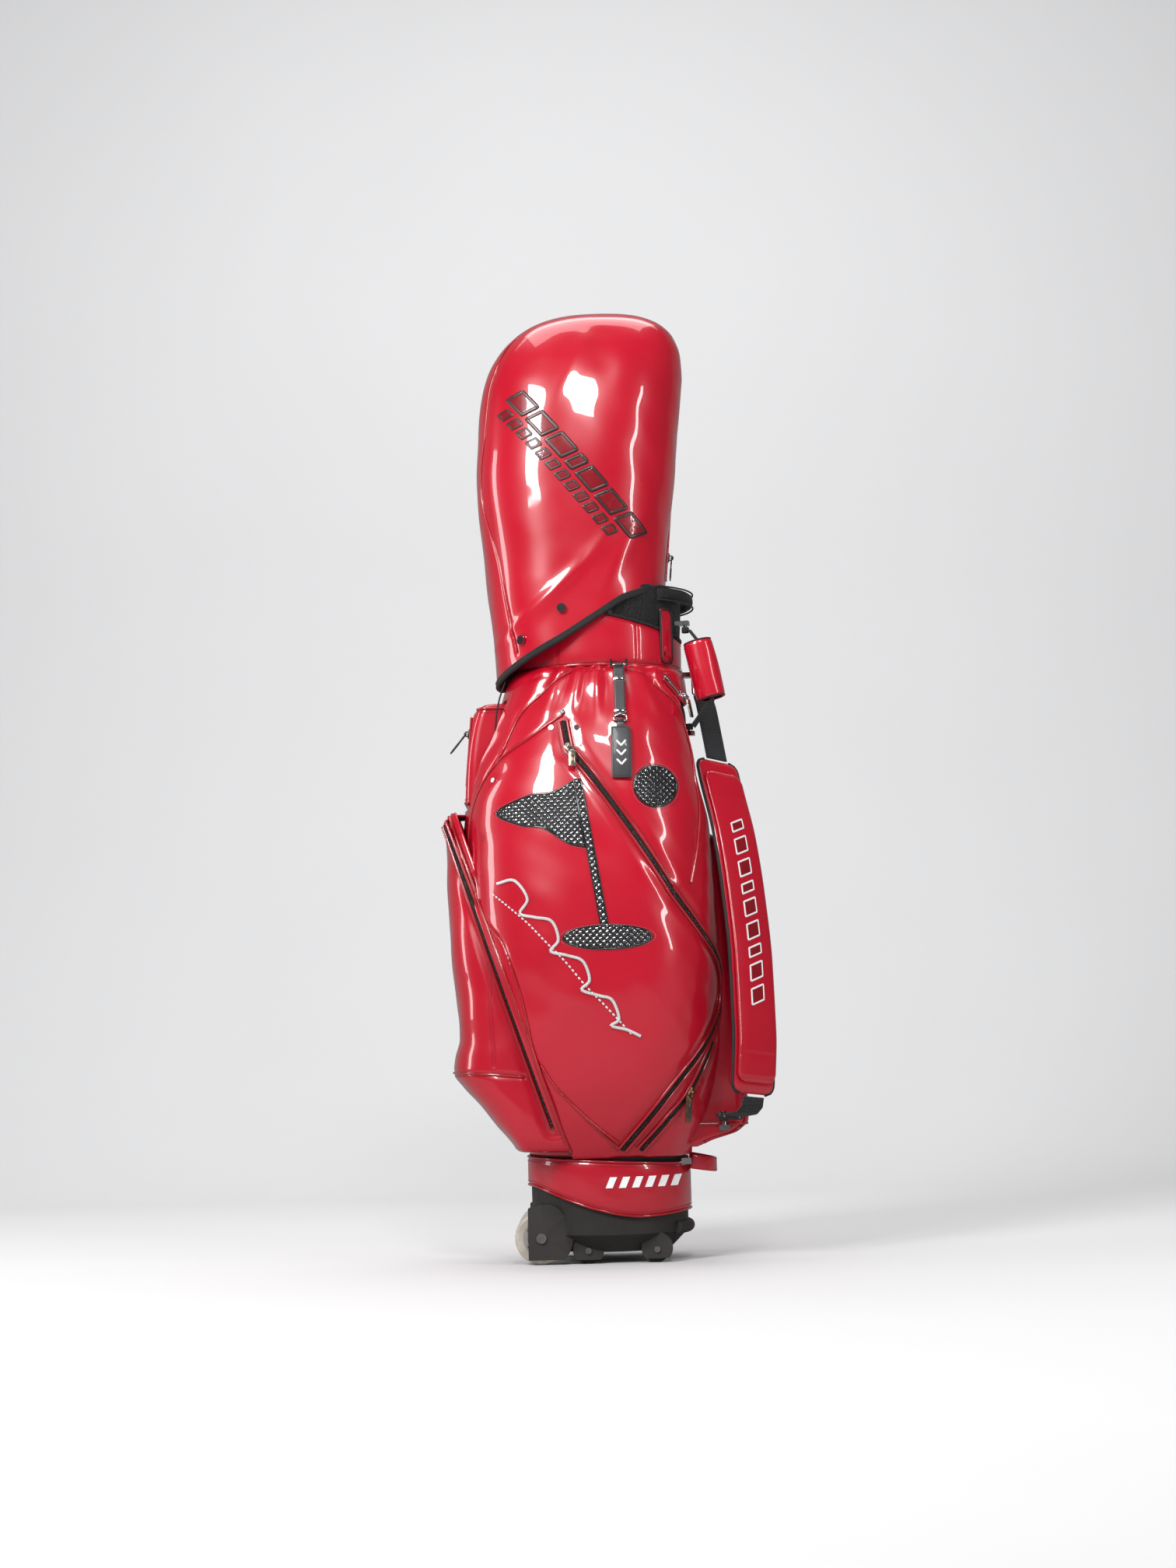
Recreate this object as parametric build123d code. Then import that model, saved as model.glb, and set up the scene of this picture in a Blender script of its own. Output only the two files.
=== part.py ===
from build123d import *
import math
import os

# Wheeled golf bag with rain hood: a stiff liner tube in a moulded wheeled base,
# soft pockets around it, a padded collar, a lift-off rain hood, a shoulder strap
# and a carry handle. Millimetres. Origin: centre of the base on the ground,
# +Z up, +X the strap (spine) side, -X the wheel side, -Y the main pocket side.
# In names, front is -Y and back is +Y.

# ---------------------------------------------------------------- driving sizes
RIM_Z = 889.0                     # top of the padded collar
TUBE_R0, TUBE_R1 = 104.0, 108.0   # liner tube radius at the base and at the collar
TUBE_Z0, TUBE_Z1 = 139.0, 797.0   # heights of those two radii
TUBE_T = 3.0
SKIN_T, SKIN_GAP = 1.5, 0.3
POCKET_T = 3.0                    # leather, foam and lining together
BASE_R0, BASE_R1, BASE_R2 = 80.0, 103.0, 104.0
BASE_Z0, BASE_Z1, BASE_Z2 = 15.0, 38.0, 125.0
BASE_T = 3.5
WHEEL_R, WHEEL_W = 34.5, 22.0
WHEEL_X, WHEEL_Y = -90.5, 66.0
RIM_R, BEARING_R, BEARING_W = 24.0, 11.0, 7.0
ROLLER_R, ROLLER_W, ROLLER_Y = 17.0, 14.0, 67.0
ROLLER_X = (-30.0, 59.0)
LUG_Z = 19.0                      # axis height of the rounded lugs over the rollers
AXLE_R, PIN_R = 4.0, 2.5
RUN = 0.05                        # running clearance
COLLAR_R0, COLLAR_R1, PAD_R1 = 110.3, 113.5, 114.2
HOOD_T, HOOD_TRIM = 3.0, 9.0
STRAP_TOP = (138.0, 8.0, 772.0)
STRAP_LOW = (150.0, -92.0, 178.0)
STRAP_PAD_W, STRAP_WEB_W, STRAP_WEB_T = 76.0, 38.0, 2.5
STRAP_PIN_R, CARRY_PIN_R, TAG_RING_R, TAG_PIN_R, LOOP_PIN_R = 3.0, 2.5, 1.5, 1.4, 2.0
OVAL_N = 2.4                      # superellipse exponent of the body and the hood
OVAL_POINTS = 36
BALL_N = 3.0                      # superellipse exponent of the ball pocket
SIDES = (-1, 1)
UP = (Align.CENTER, Align.CENTER, Align.MIN)

os.makedirs("parts", exist_ok=True)


# ---------------------------------------------------------------- small helpers
def pchip(xs, ys):
    """Monotone cubic through the points, so a profile never overshoots."""
    n = len(xs)
    gap = [xs[i + 1] - xs[i] for i in range(n - 1)]
    slope = [(ys[i + 1] - ys[i]) / gap[i] for i in range(n - 1)]
    tangent = [0.0] * n
    tangent[0], tangent[-1] = slope[0], slope[-1]
    for i in range(1, n - 1):
        if slope[i - 1] * slope[i] > 0:
            before, after = 2 * gap[i] + gap[i - 1], gap[i] + 2 * gap[i - 1]
            tangent[i] = (before + after) / (before / slope[i - 1] + after / slope[i])

    def curve(x):
        x = min(max(x, xs[0]), xs[-1])
        i = 0
        while i < n - 2 and x > xs[i + 1]:
            i += 1
        t = (x - xs[i]) / gap[i]
        return (ys[i] * (2 * t ** 3 - 3 * t ** 2 + 1)
                + gap[i] * tangent[i] * (t ** 3 - 2 * t ** 2 + t)
                + ys[i + 1] * (-2 * t ** 3 + 3 * t ** 2)
                + gap[i] * tangent[i + 1] * (t ** 3 - t ** 2))
    return curve


def vec(point):
    return Vector(*point)


def frame(origin, z_dir, x_dir):
    return Location(Plane(origin=origin, x_dir=x_dir, z_dir=z_dir))


def cyl(start, direction, radius, length):
    """A cylinder from start along direction."""
    plane = Plane(origin=vec(start), z_dir=vec(direction).normalized())
    return Location(plane) * Cylinder(radius, length, align=UP)


def cross_cyl(side, x, y, z, radius, length):
    """A cylinder along Y, from y outwards, on the -Y (-1) or +Y (1) side."""
    return cyl((x, y * side, z), (0, side, 0), radius, length)


def wheel_cyl(side, y, radius, length):
    """A cylinder on the wheel's axis."""
    return cross_cyl(side, WHEEL_X, y, WHEEL_R, radius, length)


def post(radius, z, height):
    """An upright cylinder on the bag's axis, standing at z."""
    return Location((0, 0, z)) * Cylinder(radius, height, align=UP)


def box(x0, x1, y0, y1, z0, z1):
    centre = ((x0 + x1) / 2, (y0 + y1) / 2, (z0 + z1) / 2)
    return Location(centre) * Box(x1 - x0, y1 - y0, z1 - z0)


def ring(inner, outer, z0, z1):
    return post(outer, z0, z1 - z0) - post(inner, z0 - 1, z1 - z0 + 2)


def hoop(centre, inner, outer, height):
    """A ring of the given height standing on centre."""
    return Location(centre) * (Cylinder(outer, height, align=UP)
                               - Cylinder(inner, height, align=UP))


def revolved(points):
    """Revolve a closed (radius, z) outline about the Z axis."""
    wire = Polyline(*[(r, 0, z) for r, z in points], close=True)
    return revolve(make_face(wire), axis=Axis.Z)


def prism_xz(points, y0, y1):
    """Extrude a closed (x, z) outline from y0 to y1."""
    face = make_face(Polyline(*[(x, y1, z) for x, z in points], close=True))
    return extrude(face, amount=(y1 - y0), dir=(0, -1, 0))


def slope_block(z_at, z_far):
    """A block between the edge line z_at(x) and the level z_far."""
    return prism_xz([(-130, z_at(-130)), (130, z_at(130)), (130, z_far), (-130, z_far)],
                    -130, 130)


def bar_along(start, direction, across, width, thick, length):
    """A rectangular bar from start, its width along across."""
    return frame(start, direction, across) * extrude(Rectangle(width, thick), amount=length)


def web_runs(points, across, width, thick, overlap):
    """Flat straight runs between the points, each longer by overlap at both ends."""
    runs = []
    for start, end in zip(points, points[1:]):
        direction = (end - start).normalized()
        runs.append(bar_along(start - direction * overlap, direction, across, width, thick,
                              (end - start).length + 2 * overlap))
    return runs


def flip(shape):
    """Mirror from front to back."""
    return mirror(shape, about=Plane.XZ)


def big(shape, limit=2000.0):
    """The solids above a volume limit, without the slivers."""
    return [s for s in shape.solids() if s.volume > limit]


def largest(shape):
    return max(shape.solids(), key=lambda s: s.volume)


def save(name, *shapes):
    solids = []
    for shape in shapes:
        solids += list(shape.solids())
    whole = Compound(children=solids) if len(solids) > 1 else solids[0]
    export_step(whole, f"parts/{name}.step")


def superloop(z, left, right, half):
    """Closed curve: half-widths left (-X), right (+X) and half (Y)."""
    points = []
    for i in range(OVAL_POINTS):
        angle = 2 * math.pi * i / OVAL_POINTS
        c, s = math.cos(angle), math.sin(angle)
        width = right if c > 0 else left
        points.append((width * math.copysign(abs(c) ** (2 / OVAL_N), c),
                       half * math.copysign(abs(s) ** (2 / OVAL_N), s), z))
    return make_face(Spline(*points, periodic=True))


class Run:
    """A straight line in space with an outward direction square to it."""

    def __init__(self, start, end, outward):
        self.start = vec(start)
        self.axis = (vec(end) - self.start).normalized()
        self.length = (vec(end) - self.start).length
        outward = vec(outward)
        self.out = (outward - self.axis * outward.dot(self.axis)).normalized()
        self.across = self.axis.cross(self.out)

    def at(self, along, out=0.0):
        return self.start + self.axis * along + self.out * out

    def cyl(self, along, radius, length):
        return cyl(self.at(along), self.axis, radius, length)

    def block(self, along, out, length, width, thick):
        """A box centred at (along, out)."""
        return frame(self.at(along, out), self.out, self.axis) * Box(length, width, thick)


# ---------------------------------------------------------------- zip building
class LineZip(Run):
    """A straight zip; places along it are in millimetres from its start."""

    def band(self, bottom, top, width, start, end):
        return self.block((start + end) / 2, (bottom + top) / 2, end - start, width, top - bottom)

    def location(self):
        return frame(self.start, self.out, self.axis)


class ArcZip:
    """A zip on a circular arc in space; places along it are angles from its start."""

    def __init__(self, centre, axis, radius, start, end, sweep):
        self.centre, self.axis = vec(centre), vec(axis).normalized()
        self.radius, self.sweep = radius, sweep
        self.radial = self.radial_to(start)
        to_end = vec(end) - self.centre
        # forward: turning by the right-hand rule about the axis goes from start to end
        self.forward = self.radial.cross(to_end).dot(self.axis) > 0

    def radial_to(self, point):
        offset = vec(point) - self.centre
        return (offset - self.axis * offset.dot(self.axis)).normalized()

    def span(self, before, after):
        """Angles of the whole zip, longer by before at the start and after at the end."""
        if self.forward:
            return -before, self.sweep + after
        return -self.sweep - after, before

    def band(self, bottom, top, width, start, end):
        """A curved bar from bottom to top above the arc, between two angles."""
        plane = Plane(origin=self.centre, x_dir=self.radial,
                      z_dir=self.axis.cross(self.radial) * -1)
        middle = (2 * self.radius + bottom + top) / 2
        profile = plane * (Location((middle, 0)) * Rectangle(top - bottom, width))
        axis = Axis(self.centre, self.axis)
        return revolve(profile, axis=axis, revolution_arc=(end - start)).rotate(axis, start)

    def location(self, point=None):
        """Place on the arc at its start, or nearest to point."""
        radial = self.radial_to(point) if point else self.radial
        return frame(self.centre + radial * self.radius, radial, self.axis.cross(radial))


def zip_channel(line, start, end):
    """The cutter that opens a pocket along its zip."""
    return line.band(-9, 16, 16, start, end)


def zip_teeth(line, start, end):
    tape = line.band(-1.0, -0.2, 13, start, end)
    coil = line.band(-0.3, 1.8, 4.4, start, end)
    return tape + coil


PULL_PIN_R, PULL_PIN_GAP, PULL_PIN_Z = 1.2, 0.07, 6.6
PULL_BAR_X = 7.6                  # from the pin to the cross bar that carries the tab


def slider_at(place):
    """Plate, two side flanges and a bored lug; local x is along the zip, z outward."""
    slider = Location((0, 0, 3.0)) * Box(12, 9, 1.6)
    for y in (3.6, -3.6):
        slider += Location((0, y, 1.25)) * Box(12, 1.8, 2.1)
    slider += Location((0, 0, 6.0)) * Box(5, 2.0, 5.2)
    slider -= (Location((0, 0, PULL_PIN_Z), (90, 0, 0))
               * Cylinder(PULL_PIN_R + PULL_PIN_GAP, 6))
    return place * slider


def hang_angle(place):
    """Angle, in the slider's plane, of the direction that points down."""
    plane = Plane(place)
    return math.degrees(math.atan2(-plane.y_dir.Z, -plane.x_dir.Z))


def pull_at(place, length, width, tilt):
    """Pin, two arms and a flat hanging tab; tilt lifts the pull off the surface."""
    angle = hang_angle(place)
    way = -1 if math.cos(math.radians(angle)) < 0 else 1
    pull = Location((0, 0, 0), (90, 0, 0)) * Cylinder(PULL_PIN_R, 7.4)
    for y in (3.0, -3.0):
        pull += Location((3.2 * way, y, 0)) * Box(7.6, 1.4, 2.0)
    pull += Location((PULL_BAR_X * way, 0, 0)) * Box(2.6, 7.4, 2.0)
    tab = Location((length / 2, 0, 0)) * Box(length, width, 1.8)
    tab = fillet(tab.edges().filter_by(Axis.Z), 2.0)
    pull += Location((PULL_BAR_X * way, 0, 0), (0, 0, angle)) * tab
    return place * (Location((0, 0, PULL_PIN_Z), (0, -tilt * way, 0)) * pull)


def save_slider(name, place, tab_length, tab_width, tilt=0.0, mirrored=False):
    slider, pull = slider_at(place), pull_at(place, tab_length, tab_width, tilt)
    if mirrored:
        slider, pull = flip(slider), flip(pull)
    save(f"{name}_zip_slider", slider)
    save(f"{name}_zip_pull", pull)


# ---------------------------------------------------------------- outer body form
# Half-widths at each height: towards -X, towards +X, and in Y.
BODY_Z = [140, 150, 187, 238, 300, 384, 457, 560, 600, 650, 700, 740, 775]
body_left = pchip(BODY_Z, [112, 120, 146, 168, 178, 183, 184, 183, 180, 168, 145, 130, 117])
body_right = pchip(BODY_Z, [112, 118, 138, 150, 157, 160, 157, 150, 144, 134, 126, 121, 116])
body_half = pchip(BODY_Z, [112, 120, 142, 162, 174, 180, 180, 173, 167, 157, 143, 129, 117])
BODY_LEVELS = [140, 150, 168, 187, 210, 238, 268, 300, 340, 384, 420, 457,
               505, 560, 600, 625, 650, 675, 700, 720, 740, 758, 775]


def body_form(inset):
    return loft([superloop(z, body_left(z) - inset, body_right(z) - inset, body_half(z) - inset)
                 for z in BODY_LEVELS])


def body_width(x, z):
    return body_right(z) if x >= 0 else body_left(z)


def body_value(x, y, z):
    """Zero on the body surface, positive outside."""
    return (abs(x) / body_width(x, z)) ** OVAL_N + (abs(y) / body_half(z)) ** OVAL_N - 1


def body_point(x, z):
    """The point of the body's front (-Y) surface at x, z."""
    y = -body_half(z) * (1 - (abs(x) / body_width(x, z)) ** OVAL_N) ** (1 / OVAL_N)
    return x, y, z


def body_normal(x, y, z):
    e = 0.5
    return Vector(body_value(x + e, y, z) - body_value(x - e, y, z),
                  body_value(x, y + e, z) - body_value(x, y - e, z),
                  body_value(x, y, z + e) - body_value(x, y, z - e)).normalized()


# Ball pocket, proud of the body on the wheel side: reach towards -X and half-width in Y.
BALL_Z = [145, 155, 181, 206, 231, 250, 269, 294, 344, 395, 470, 571, 592]
ball_left = pchip(BALL_Z, [121, 126, 147, 167, 190, 203, 200, 193, 196, 201, 205, 207, 206])
ball_half = pchip(BALL_Z, [112, 116, 120, 121, 120, 119, 118, 117, 115, 112, 107, 101, 99])
BALL_LEVELS = (160, 181, 206, 231, 250, 269, 294, 320, 344, 395, 430, 470, 520, 571)
BALL_X = -100.0                   # centre of the half ovals


def ball_form(inset, z0, z1):
    """Loft of half ovals that bulge towards -X and are closed by a straight chord."""
    faces = []
    for z in [z0] + [z for z in BALL_LEVELS if z0 + 4 < z < z1 - 4] + [z1]:
        reach = ball_left(z) + BALL_X - inset
        half = ball_half(z) - inset
        points = []
        for i in range(25):
            t = math.pi / 2 + math.pi * i / 24
            c, s = math.cos(t), math.sin(t)
            points.append((BALL_X - reach * abs(c) ** (2 / BALL_N),
                           half * math.copysign(abs(s) ** (2 / BALL_N), s), z))
        faces.append(make_face(Wire([Spline(*points), Line(points[-1], points[0])])))
    return loft(faces)


def ball_side(offset, top):
    """All on the wheel side of the ball pocket's leaning +X edge, shifted by offset in X."""
    def edge_x(z):
        return -49.6 - 0.34 * (z - 141.0)
    return prism_xz([(edge_x(100) + offset, 100), (edge_x(top) + offset, top),
                     (-300, top), (-300, 100)], -220, 220)


# ---------------------------------------------------------------- zip lines
front_zip = ArcZip(centre=(-37.28, 244.87, 510.05), axis=(-0.81213, -0.20782, -0.54521),
                   radius=424.52, start=(-40.0, -151.0, 665.0), end=(90.0, -157.9, 474.0),
                   sweep=31.59)
lower_zip = ArcZip(centre=(28.85, 43.75, 241.82), axis=(-0.74394, -0.41748, 0.52179),
                   radius=183.09, start=(104.5, -118.5, 219.0), end=(140.0, -94.1, 290.0),
                   sweep=24.0)
BALL_ZIP_LOW = (-75.3, -120.5, 190.0)
ball_zip = ArcZip(centre=(-85.43, 1298.03, 219.9), axis=(-0.94677, 0.0, -0.3219),
                  radius=1418.09, start=(-173.2, -92.9, 478.0), end=BALL_ZIP_LOW, sweep=12.36)
small_zip = LineZip(body_point(110.0, 740.0), body_point(90.0, 762.0),
                    body_normal(*body_point(100.0, 751.0)))
valuables_zip = LineZip((-171.2, -34.0, 700.0), (-176.6, -34.0, 640.0), (-1, 0, 0))
hood_zip = LineZip((98.6, 0, 940.0), (118.0, 0, 1160.0), (1, 0, -0.09))

# ---------------------------------------------------------------- base
CHEEK_Y0, CHEEK_Y1 = 50.0, 84.0   # housing around each wheel
WELL_Y0, WELL_Y1 = 53.0, 79.5     # open space inside it


def base_bumper():
    """Torus segment on the +X side, cleared inside the shell wall."""
    bumper = Location((0, 0, 43)) * Torus(BASE_R2 - 1, 8.5)
    wedge = Polyline((0, 0), (200, -140), (200, 140), close=True)
    bumper = bumper & (Location((0, 0, 30)) * extrude(make_face(wedge), amount=30))
    bumper -= Location((0, 0, 20)) * Cone(BASE_R1 - 2, BASE_R2 - 2, 60, align=UP)
    return bumper


def wheel_housing(side):
    y0, y1 = sorted((CHEEK_Y0 * side, CHEEK_Y1 * side))
    outline = make_hull((Location((-83.5, 54)) * CenterArc((0, 0), 24, 0, 360)).edges()
                        + (Location((-88, 33)) * CenterArc((0, 0), 20, 0, 360)).edges())
    plane = Plane(origin=(0, y1, 0), x_dir=(1, 0, 0), z_dir=(0, -1, 0))
    cheek = extrude(plane * outline, amount=y1 - y0)
    well = cyl((WHEEL_X, y0, WHEEL_R), (0, 1, 0), 41.0, y1 - y0)
    return cheek + (well & box(-107.5, 0, y0, y1, 6.5, 90))


shell = revolved([(0, BASE_Z0), (BASE_R0, BASE_Z0), (BASE_R1, BASE_Z1), (BASE_R2, BASE_Z2),
                  (BASE_R2 - BASE_T, BASE_Z2), (BASE_R1 - BASE_T, BASE_Z1 + 2),
                  (BASE_R0 - 2, BASE_Z0 + 4), (0, BASE_Z0 + 4)])
shell += base_bumper()
for side in SIDES:
    shell += wheel_housing(side)
    for x in ROLLER_X:
        lug = cross_cyl(side, x, ROLLER_Y - 12.0, LUG_Z, 20.5, 26.0)
        lug &= box(x - 30, x + 30, -90, 90, 5.5, 60)
        shell += lug
for side in SIDES:
    y0, y1 = sorted((WELL_Y0 * side, WELL_Y1 * side))
    shell -= cyl((WHEEL_X, y0, WHEEL_R), (0, 1, 0), 38.0, y1 - y0)
    shell -= wheel_cyl(side, 40, AXLE_R + RUN, 60)
    shell -= wheel_cyl(side, 44, 8.0, 6.0)
    for x in ROLLER_X:
        shell -= cross_cyl(side, x, ROLLER_Y - 7.5, ROLLER_R, 18.0, 15.0)
        shell -= cross_cyl(side, x, 40, ROLLER_R, PIN_R + RUN, 60)
save("base_shell", shell)

# lower edge of the band around the base, as (x, z), closed below
BAND_LOWER = [(-130, 30), (-130, 100), (-102, 100), (-75, 91), (-50, 81), (-20, 71),
              (14, 63), (40, 60), (65, 61), (104, 65), (130, 67), (130, 30)]
band = ring(104.5, 108.0, 40, 150) - prism_xz(BAND_LOWER, -130, 130)
band -= slope_block(lambda x: 132 - 0.055 * x, 160)
save("base_band", band)

# flat pad in the floor, cleared around wheels and rollers
pad = revolved([(0, 19.5), (78, 19.5), (82, 25), (0, 25)])
for side in SIDES:
    pad -= wheel_cyl(side, 48, 42.0, 40)
    for x in ROLLER_X:
        pad -= cross_cyl(side, x, 52, LUG_Z, 21.5, 40)
save("base_pad", pad)

# ---------------------------------------------------------------- wheels and rollers
WHEEL_Y0 = WHEEL_Y - WHEEL_W / 2  # inner face
BEARING_Y = (WHEEL_Y0, WHEEL_Y0 + WHEEL_W - BEARING_W)


def wheel_hub(side):
    hub = wheel_cyl(side, WHEEL_Y0, RIM_R, WHEEL_W)
    hub -= wheel_cyl(side, 50, 6.0, 40)
    for y in (54.0, 69.95):       # bearing seats, open to each face
        hub -= wheel_cyl(side, y, BEARING_R + RUN, 8.05)
    for i in range(5):
        angle = math.radians(72 * i)
        hub -= cross_cyl(side, WHEEL_X + 17.5 * math.cos(angle), 50,
                         WHEEL_R + 17.5 * math.sin(angle), 4.2, 40)
    return hub


def wheel_tyre(side):
    tyre = wheel_cyl(side, WHEEL_Y0, WHEEL_R, WHEEL_W)
    tyre = fillet(tyre.edges().filter_by(GeomType.CIRCLE), 5.0)
    return tyre - wheel_cyl(side, 50, RIM_R + RUN, 40)


def roller(side, x):
    body = cross_cyl(side, x, ROLLER_Y - ROLLER_W / 2, ROLLER_R, ROLLER_R, ROLLER_W)
    body = fillet(body.edges().filter_by(GeomType.CIRCLE), 2.5)
    return body - cross_cyl(side, x, 50, ROLLER_R, PIN_R + RUN, 36)


axles, pins = [], []
for tag, side in (("front", -1), ("back", 1)):
    save(f"wheel_hub_{tag}", wheel_hub(side))
    save(f"wheel_tyre_{tag}", wheel_tyre(side))
    save(f"wheel_bearings_{tag}", *[wheel_cyl(side, y, BEARING_R, BEARING_W)
                                    - wheel_cyl(side, y - 2, AXLE_R + RUN, 12)
                                    for y in BEARING_Y])
    axle = wheel_cyl(side, 46.8, AXLE_R, 40.2)
    axle += wheel_cyl(side, 46.8, 6.5, 3.0)
    axle += wheel_cyl(side, 84.2, 6.5, 2.8)
    axles.append(axle)
    for where, x in zip(("mid", "end"), ROLLER_X):
        save(f"roller_{tag}_{where}", roller(side, x))
        pin = cross_cyl(side, x, 54.5, ROLLER_R, PIN_R, 27.0)
        pin += cross_cyl(side, x, 81.2, ROLLER_R, 4.0, 2.4)
        pins.append(pin)
save("wheel_axles", *axles)
save("roller_pins", *pins)

# ---------------------------------------------------------------- inside of the bag
# liner tube, necked in at the bottom to stand inside the base
save("body_tube", revolved([(99.5, 82), (99.5, 129), (TUBE_R0, TUBE_Z0), (TUBE_R1, TUBE_Z1),
                            (TUBE_R1 - TUBE_T, TUBE_Z1), (TUBE_R0 - TUBE_T, TUBE_Z0),
                            (96.5, 129), (96.5, 82)]))
SKIN_R0, SKIN_R1 = TUBE_R0 + SKIN_GAP, TUBE_R1 + SKIN_GAP
save("body_skin", revolved([(SKIN_R0, TUBE_Z0 + 0.5), (SKIN_R1, TUBE_Z1),
                            (SKIN_R1 + SKIN_T, TUBE_Z1), (SKIN_R0 + SKIN_T, TUBE_Z0 + 0.5)]))

STAY_CIRCLE_R, STAY_R = 93, 3.0
INNER_Z0, SHEET_Z1 = 84, 798
rods = []
for degrees in (22, 158, 202, 338):
    a = math.radians(degrees)
    foot = (STAY_CIRCLE_R * math.cos(a), STAY_CIRCLE_R * math.sin(a), INNER_Z0)
    rods.append(cyl(foot, (0, 0, 1), STAY_R, 712))
save("stay_rods", *rods)

sheets = [box(x0, x1, -0.7, 0.7, INNER_Z0, SHEET_Z1)
          for x0, x1 in ((-94.5, -36.0), (-34.0, 34.0), (36.0, 94.5))]
sheets += [box(x - 0.7, x + 0.7, -89, 89, INNER_Z0, SHEET_Z1) for x in (-35.0, 35.0)]
save("divider_sheets", *sheets)

top = ring(98.0, 109.3, 800, 886)
bars = box(-99, 99, -3, 3, 852, 880)
for x in (-35, 35):
    bars = bars + box(x - 3, x + 3, -99, 99, 852, 880)
top += bars & ring(0.001, 100, 850, 881)
save("top_frame", top)


# ---------------------------------------------------------------- collar
def collar_edge(x):
    """Height of the sloping line between the band below and the open collar above."""
    return 850 - 0.24 * (x - 14)


collar = ring(COLLAR_R0, COLLAR_R1, 779, 890) - slope_block(collar_edge, 900)
collar -= slope_block(lambda x: 886, 900)
save("collar_band", collar)
collar_pad = ring(COLLAR_R0, PAD_R1, 780, 886.5)
collar_pad -= slope_block(lambda x: collar_edge(x) + 0.5, 770)
lip = ring(99.0, PAD_R1, 887.0, RIM_Z)
save("collar_pad", collar_pad + lip + ring(COLLAR_R0, PAD_R1, 886.0, 887.5))

tab = ring(114.6, 117.2, 784, 858)
tab &= Rotation(0, 0, -36) * prism_xz([(90, 784), (140, 784), (140, 858), (90, 858)], -13, 13)
save("collar_tab", tab)

# arched handle outside the collar on the +X side
handle = hoop((36, 0, 867), 87, 98, 21)
handle &= box(60, 140, -82, 82, 860, 890)
handle -= post(PAD_R1 + 0.4, 860, 40)
save("top_handle", largest(handle))

# ---------------------------------------------------------------- pockets
skin = body_form(0.0) - body_form(POCKET_T)
skin = (skin - ball_side(1.0, 596)
        - box(109, 260, -77, 77, 100, 741)       # room for the strap side pocket
        - box(-260, -110, -64, 64, 597, 742))    # room for the valuables pocket
front_channel = zip_channel(front_zip, *front_zip.span(1.6, 1.6))
front = ((skin & box(-260, 260, -260, -1.0, 100, 800)) - front_channel
         - zip_channel(lower_zip, *lower_zip.span(4.5, 2.5))
         - zip_channel(small_zip, -12, small_zip.length + 6))
save("front_pocket", *big(front))
back = (skin & box(-260, 260, 1.0, 260, 100, 800)) - flip(front_channel)
save("back_pocket", *big(back))

CORE_R = TUBE_R1 + 4.0            # pockets are cut back to this radius
core = post(CORE_R, 100, 600)
outer = ball_form(0.0, 146.0, 592.0)
inner = ball_form(POCKET_T, 149.0, 589.0)
ball_channel = zip_channel(ball_zip, *ball_zip.span(0.9, 0.9))
ball_pocket = ((outer & ball_side(0.0, 620)) - (inner & ball_side(-3.2, 620)) - core
               - ball_channel - flip(ball_channel))
save("ball_pocket", *big(ball_pocket, 500.0))

# (x, z) outlines of the outside and the hollow of two pockets
VALUABLES = [(-112, 600), (-179, 603), (-177, 640), (-172, 690), (-162, 728), (-156, 738),
             (-112, 738)]
VALUABLES_IN = [(-100, 603), (-176, 606), (-174, 640), (-169, 689), (-159, 727),
                (-154, 735), (-100, 735)]
SIDE = [(114, 146), (136, 156), (172, 168), (183, 181), (180, 250), (172, 350), (163, 450),
        (150, 558), (114, 558)]
SIDE_IN = [(100, 145), (114, 149.5), (135, 159), (171, 171), (180, 182), (177, 250),
           (169, 350), (160, 450), (147.5, 555), (100, 555)]


def boxy_pocket(outside, hollow, half_width):
    inner_half = half_width - POCKET_T
    return (prism_xz(outside, -half_width, half_width)
            - prism_xz(hollow, -inner_half, inner_half))


valuables = boxy_pocket(VALUABLES, VALUABLES_IN, 61) - core
valuables -= zip_channel(valuables_zip, -24, 72)
valuables -= post(CORE_R, 590, 160)  # the part that stands above the core
save("valuables_pocket", *big(valuables, 500.0))
save("strap_side_pocket", *big(boxy_pocket(SIDE, SIDE_IN, 74), 500.0))
spine = ring(110.6, 119.0, 562, 739) & box(90, 140, -58, 58, 560, 772)
save("spine_pad", *big(spine, 500.0))

# ---------------------------------------------------------------- zips
front_track = zip_teeth(front_zip, *front_zip.span(1.3, 1.3))
lower_track = zip_teeth(lower_zip, *lower_zip.span(4.0, 2.2))
ball_track = zip_teeth(ball_zip, *ball_zip.span(0.6, 0.6))
save("zip_tracks", front_track, lower_track, ball_track, flip(front_track), flip(ball_track),
     zip_teeth(small_zip, -10, small_zip.length + 4), zip_teeth(valuables_zip, -22, 70))

save_slider("front", front_zip.location(), 24, 10)
save_slider("back", front_zip.location(), 24, 10, mirrored=True)
save_slider("lower", lower_zip.location(), 32, 9)
# the ball pocket's slider rests at the low end of the back run
save_slider("ball", ball_zip.location(BALL_ZIP_LOW), 24, 9, mirrored=True)
save_slider("small", small_zip.location(), 26, 9)
save_slider("valuables", valuables_zip.location(), 26, 9, tilt=34.0)

# ---------------------------------------------------------------- rivets
RIVET_R, RIVET_H = 3.4, 1.8
rivets = []
for x, z in ((-47, 714), (-62, 693), (-29, 692), (-139, 629)):
    point = body_point(x, z)
    normal = body_normal(*point)
    rivets.append(cyl(vec(point) + normal * 0.4, normal, RIVET_R, RIVET_H))
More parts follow.
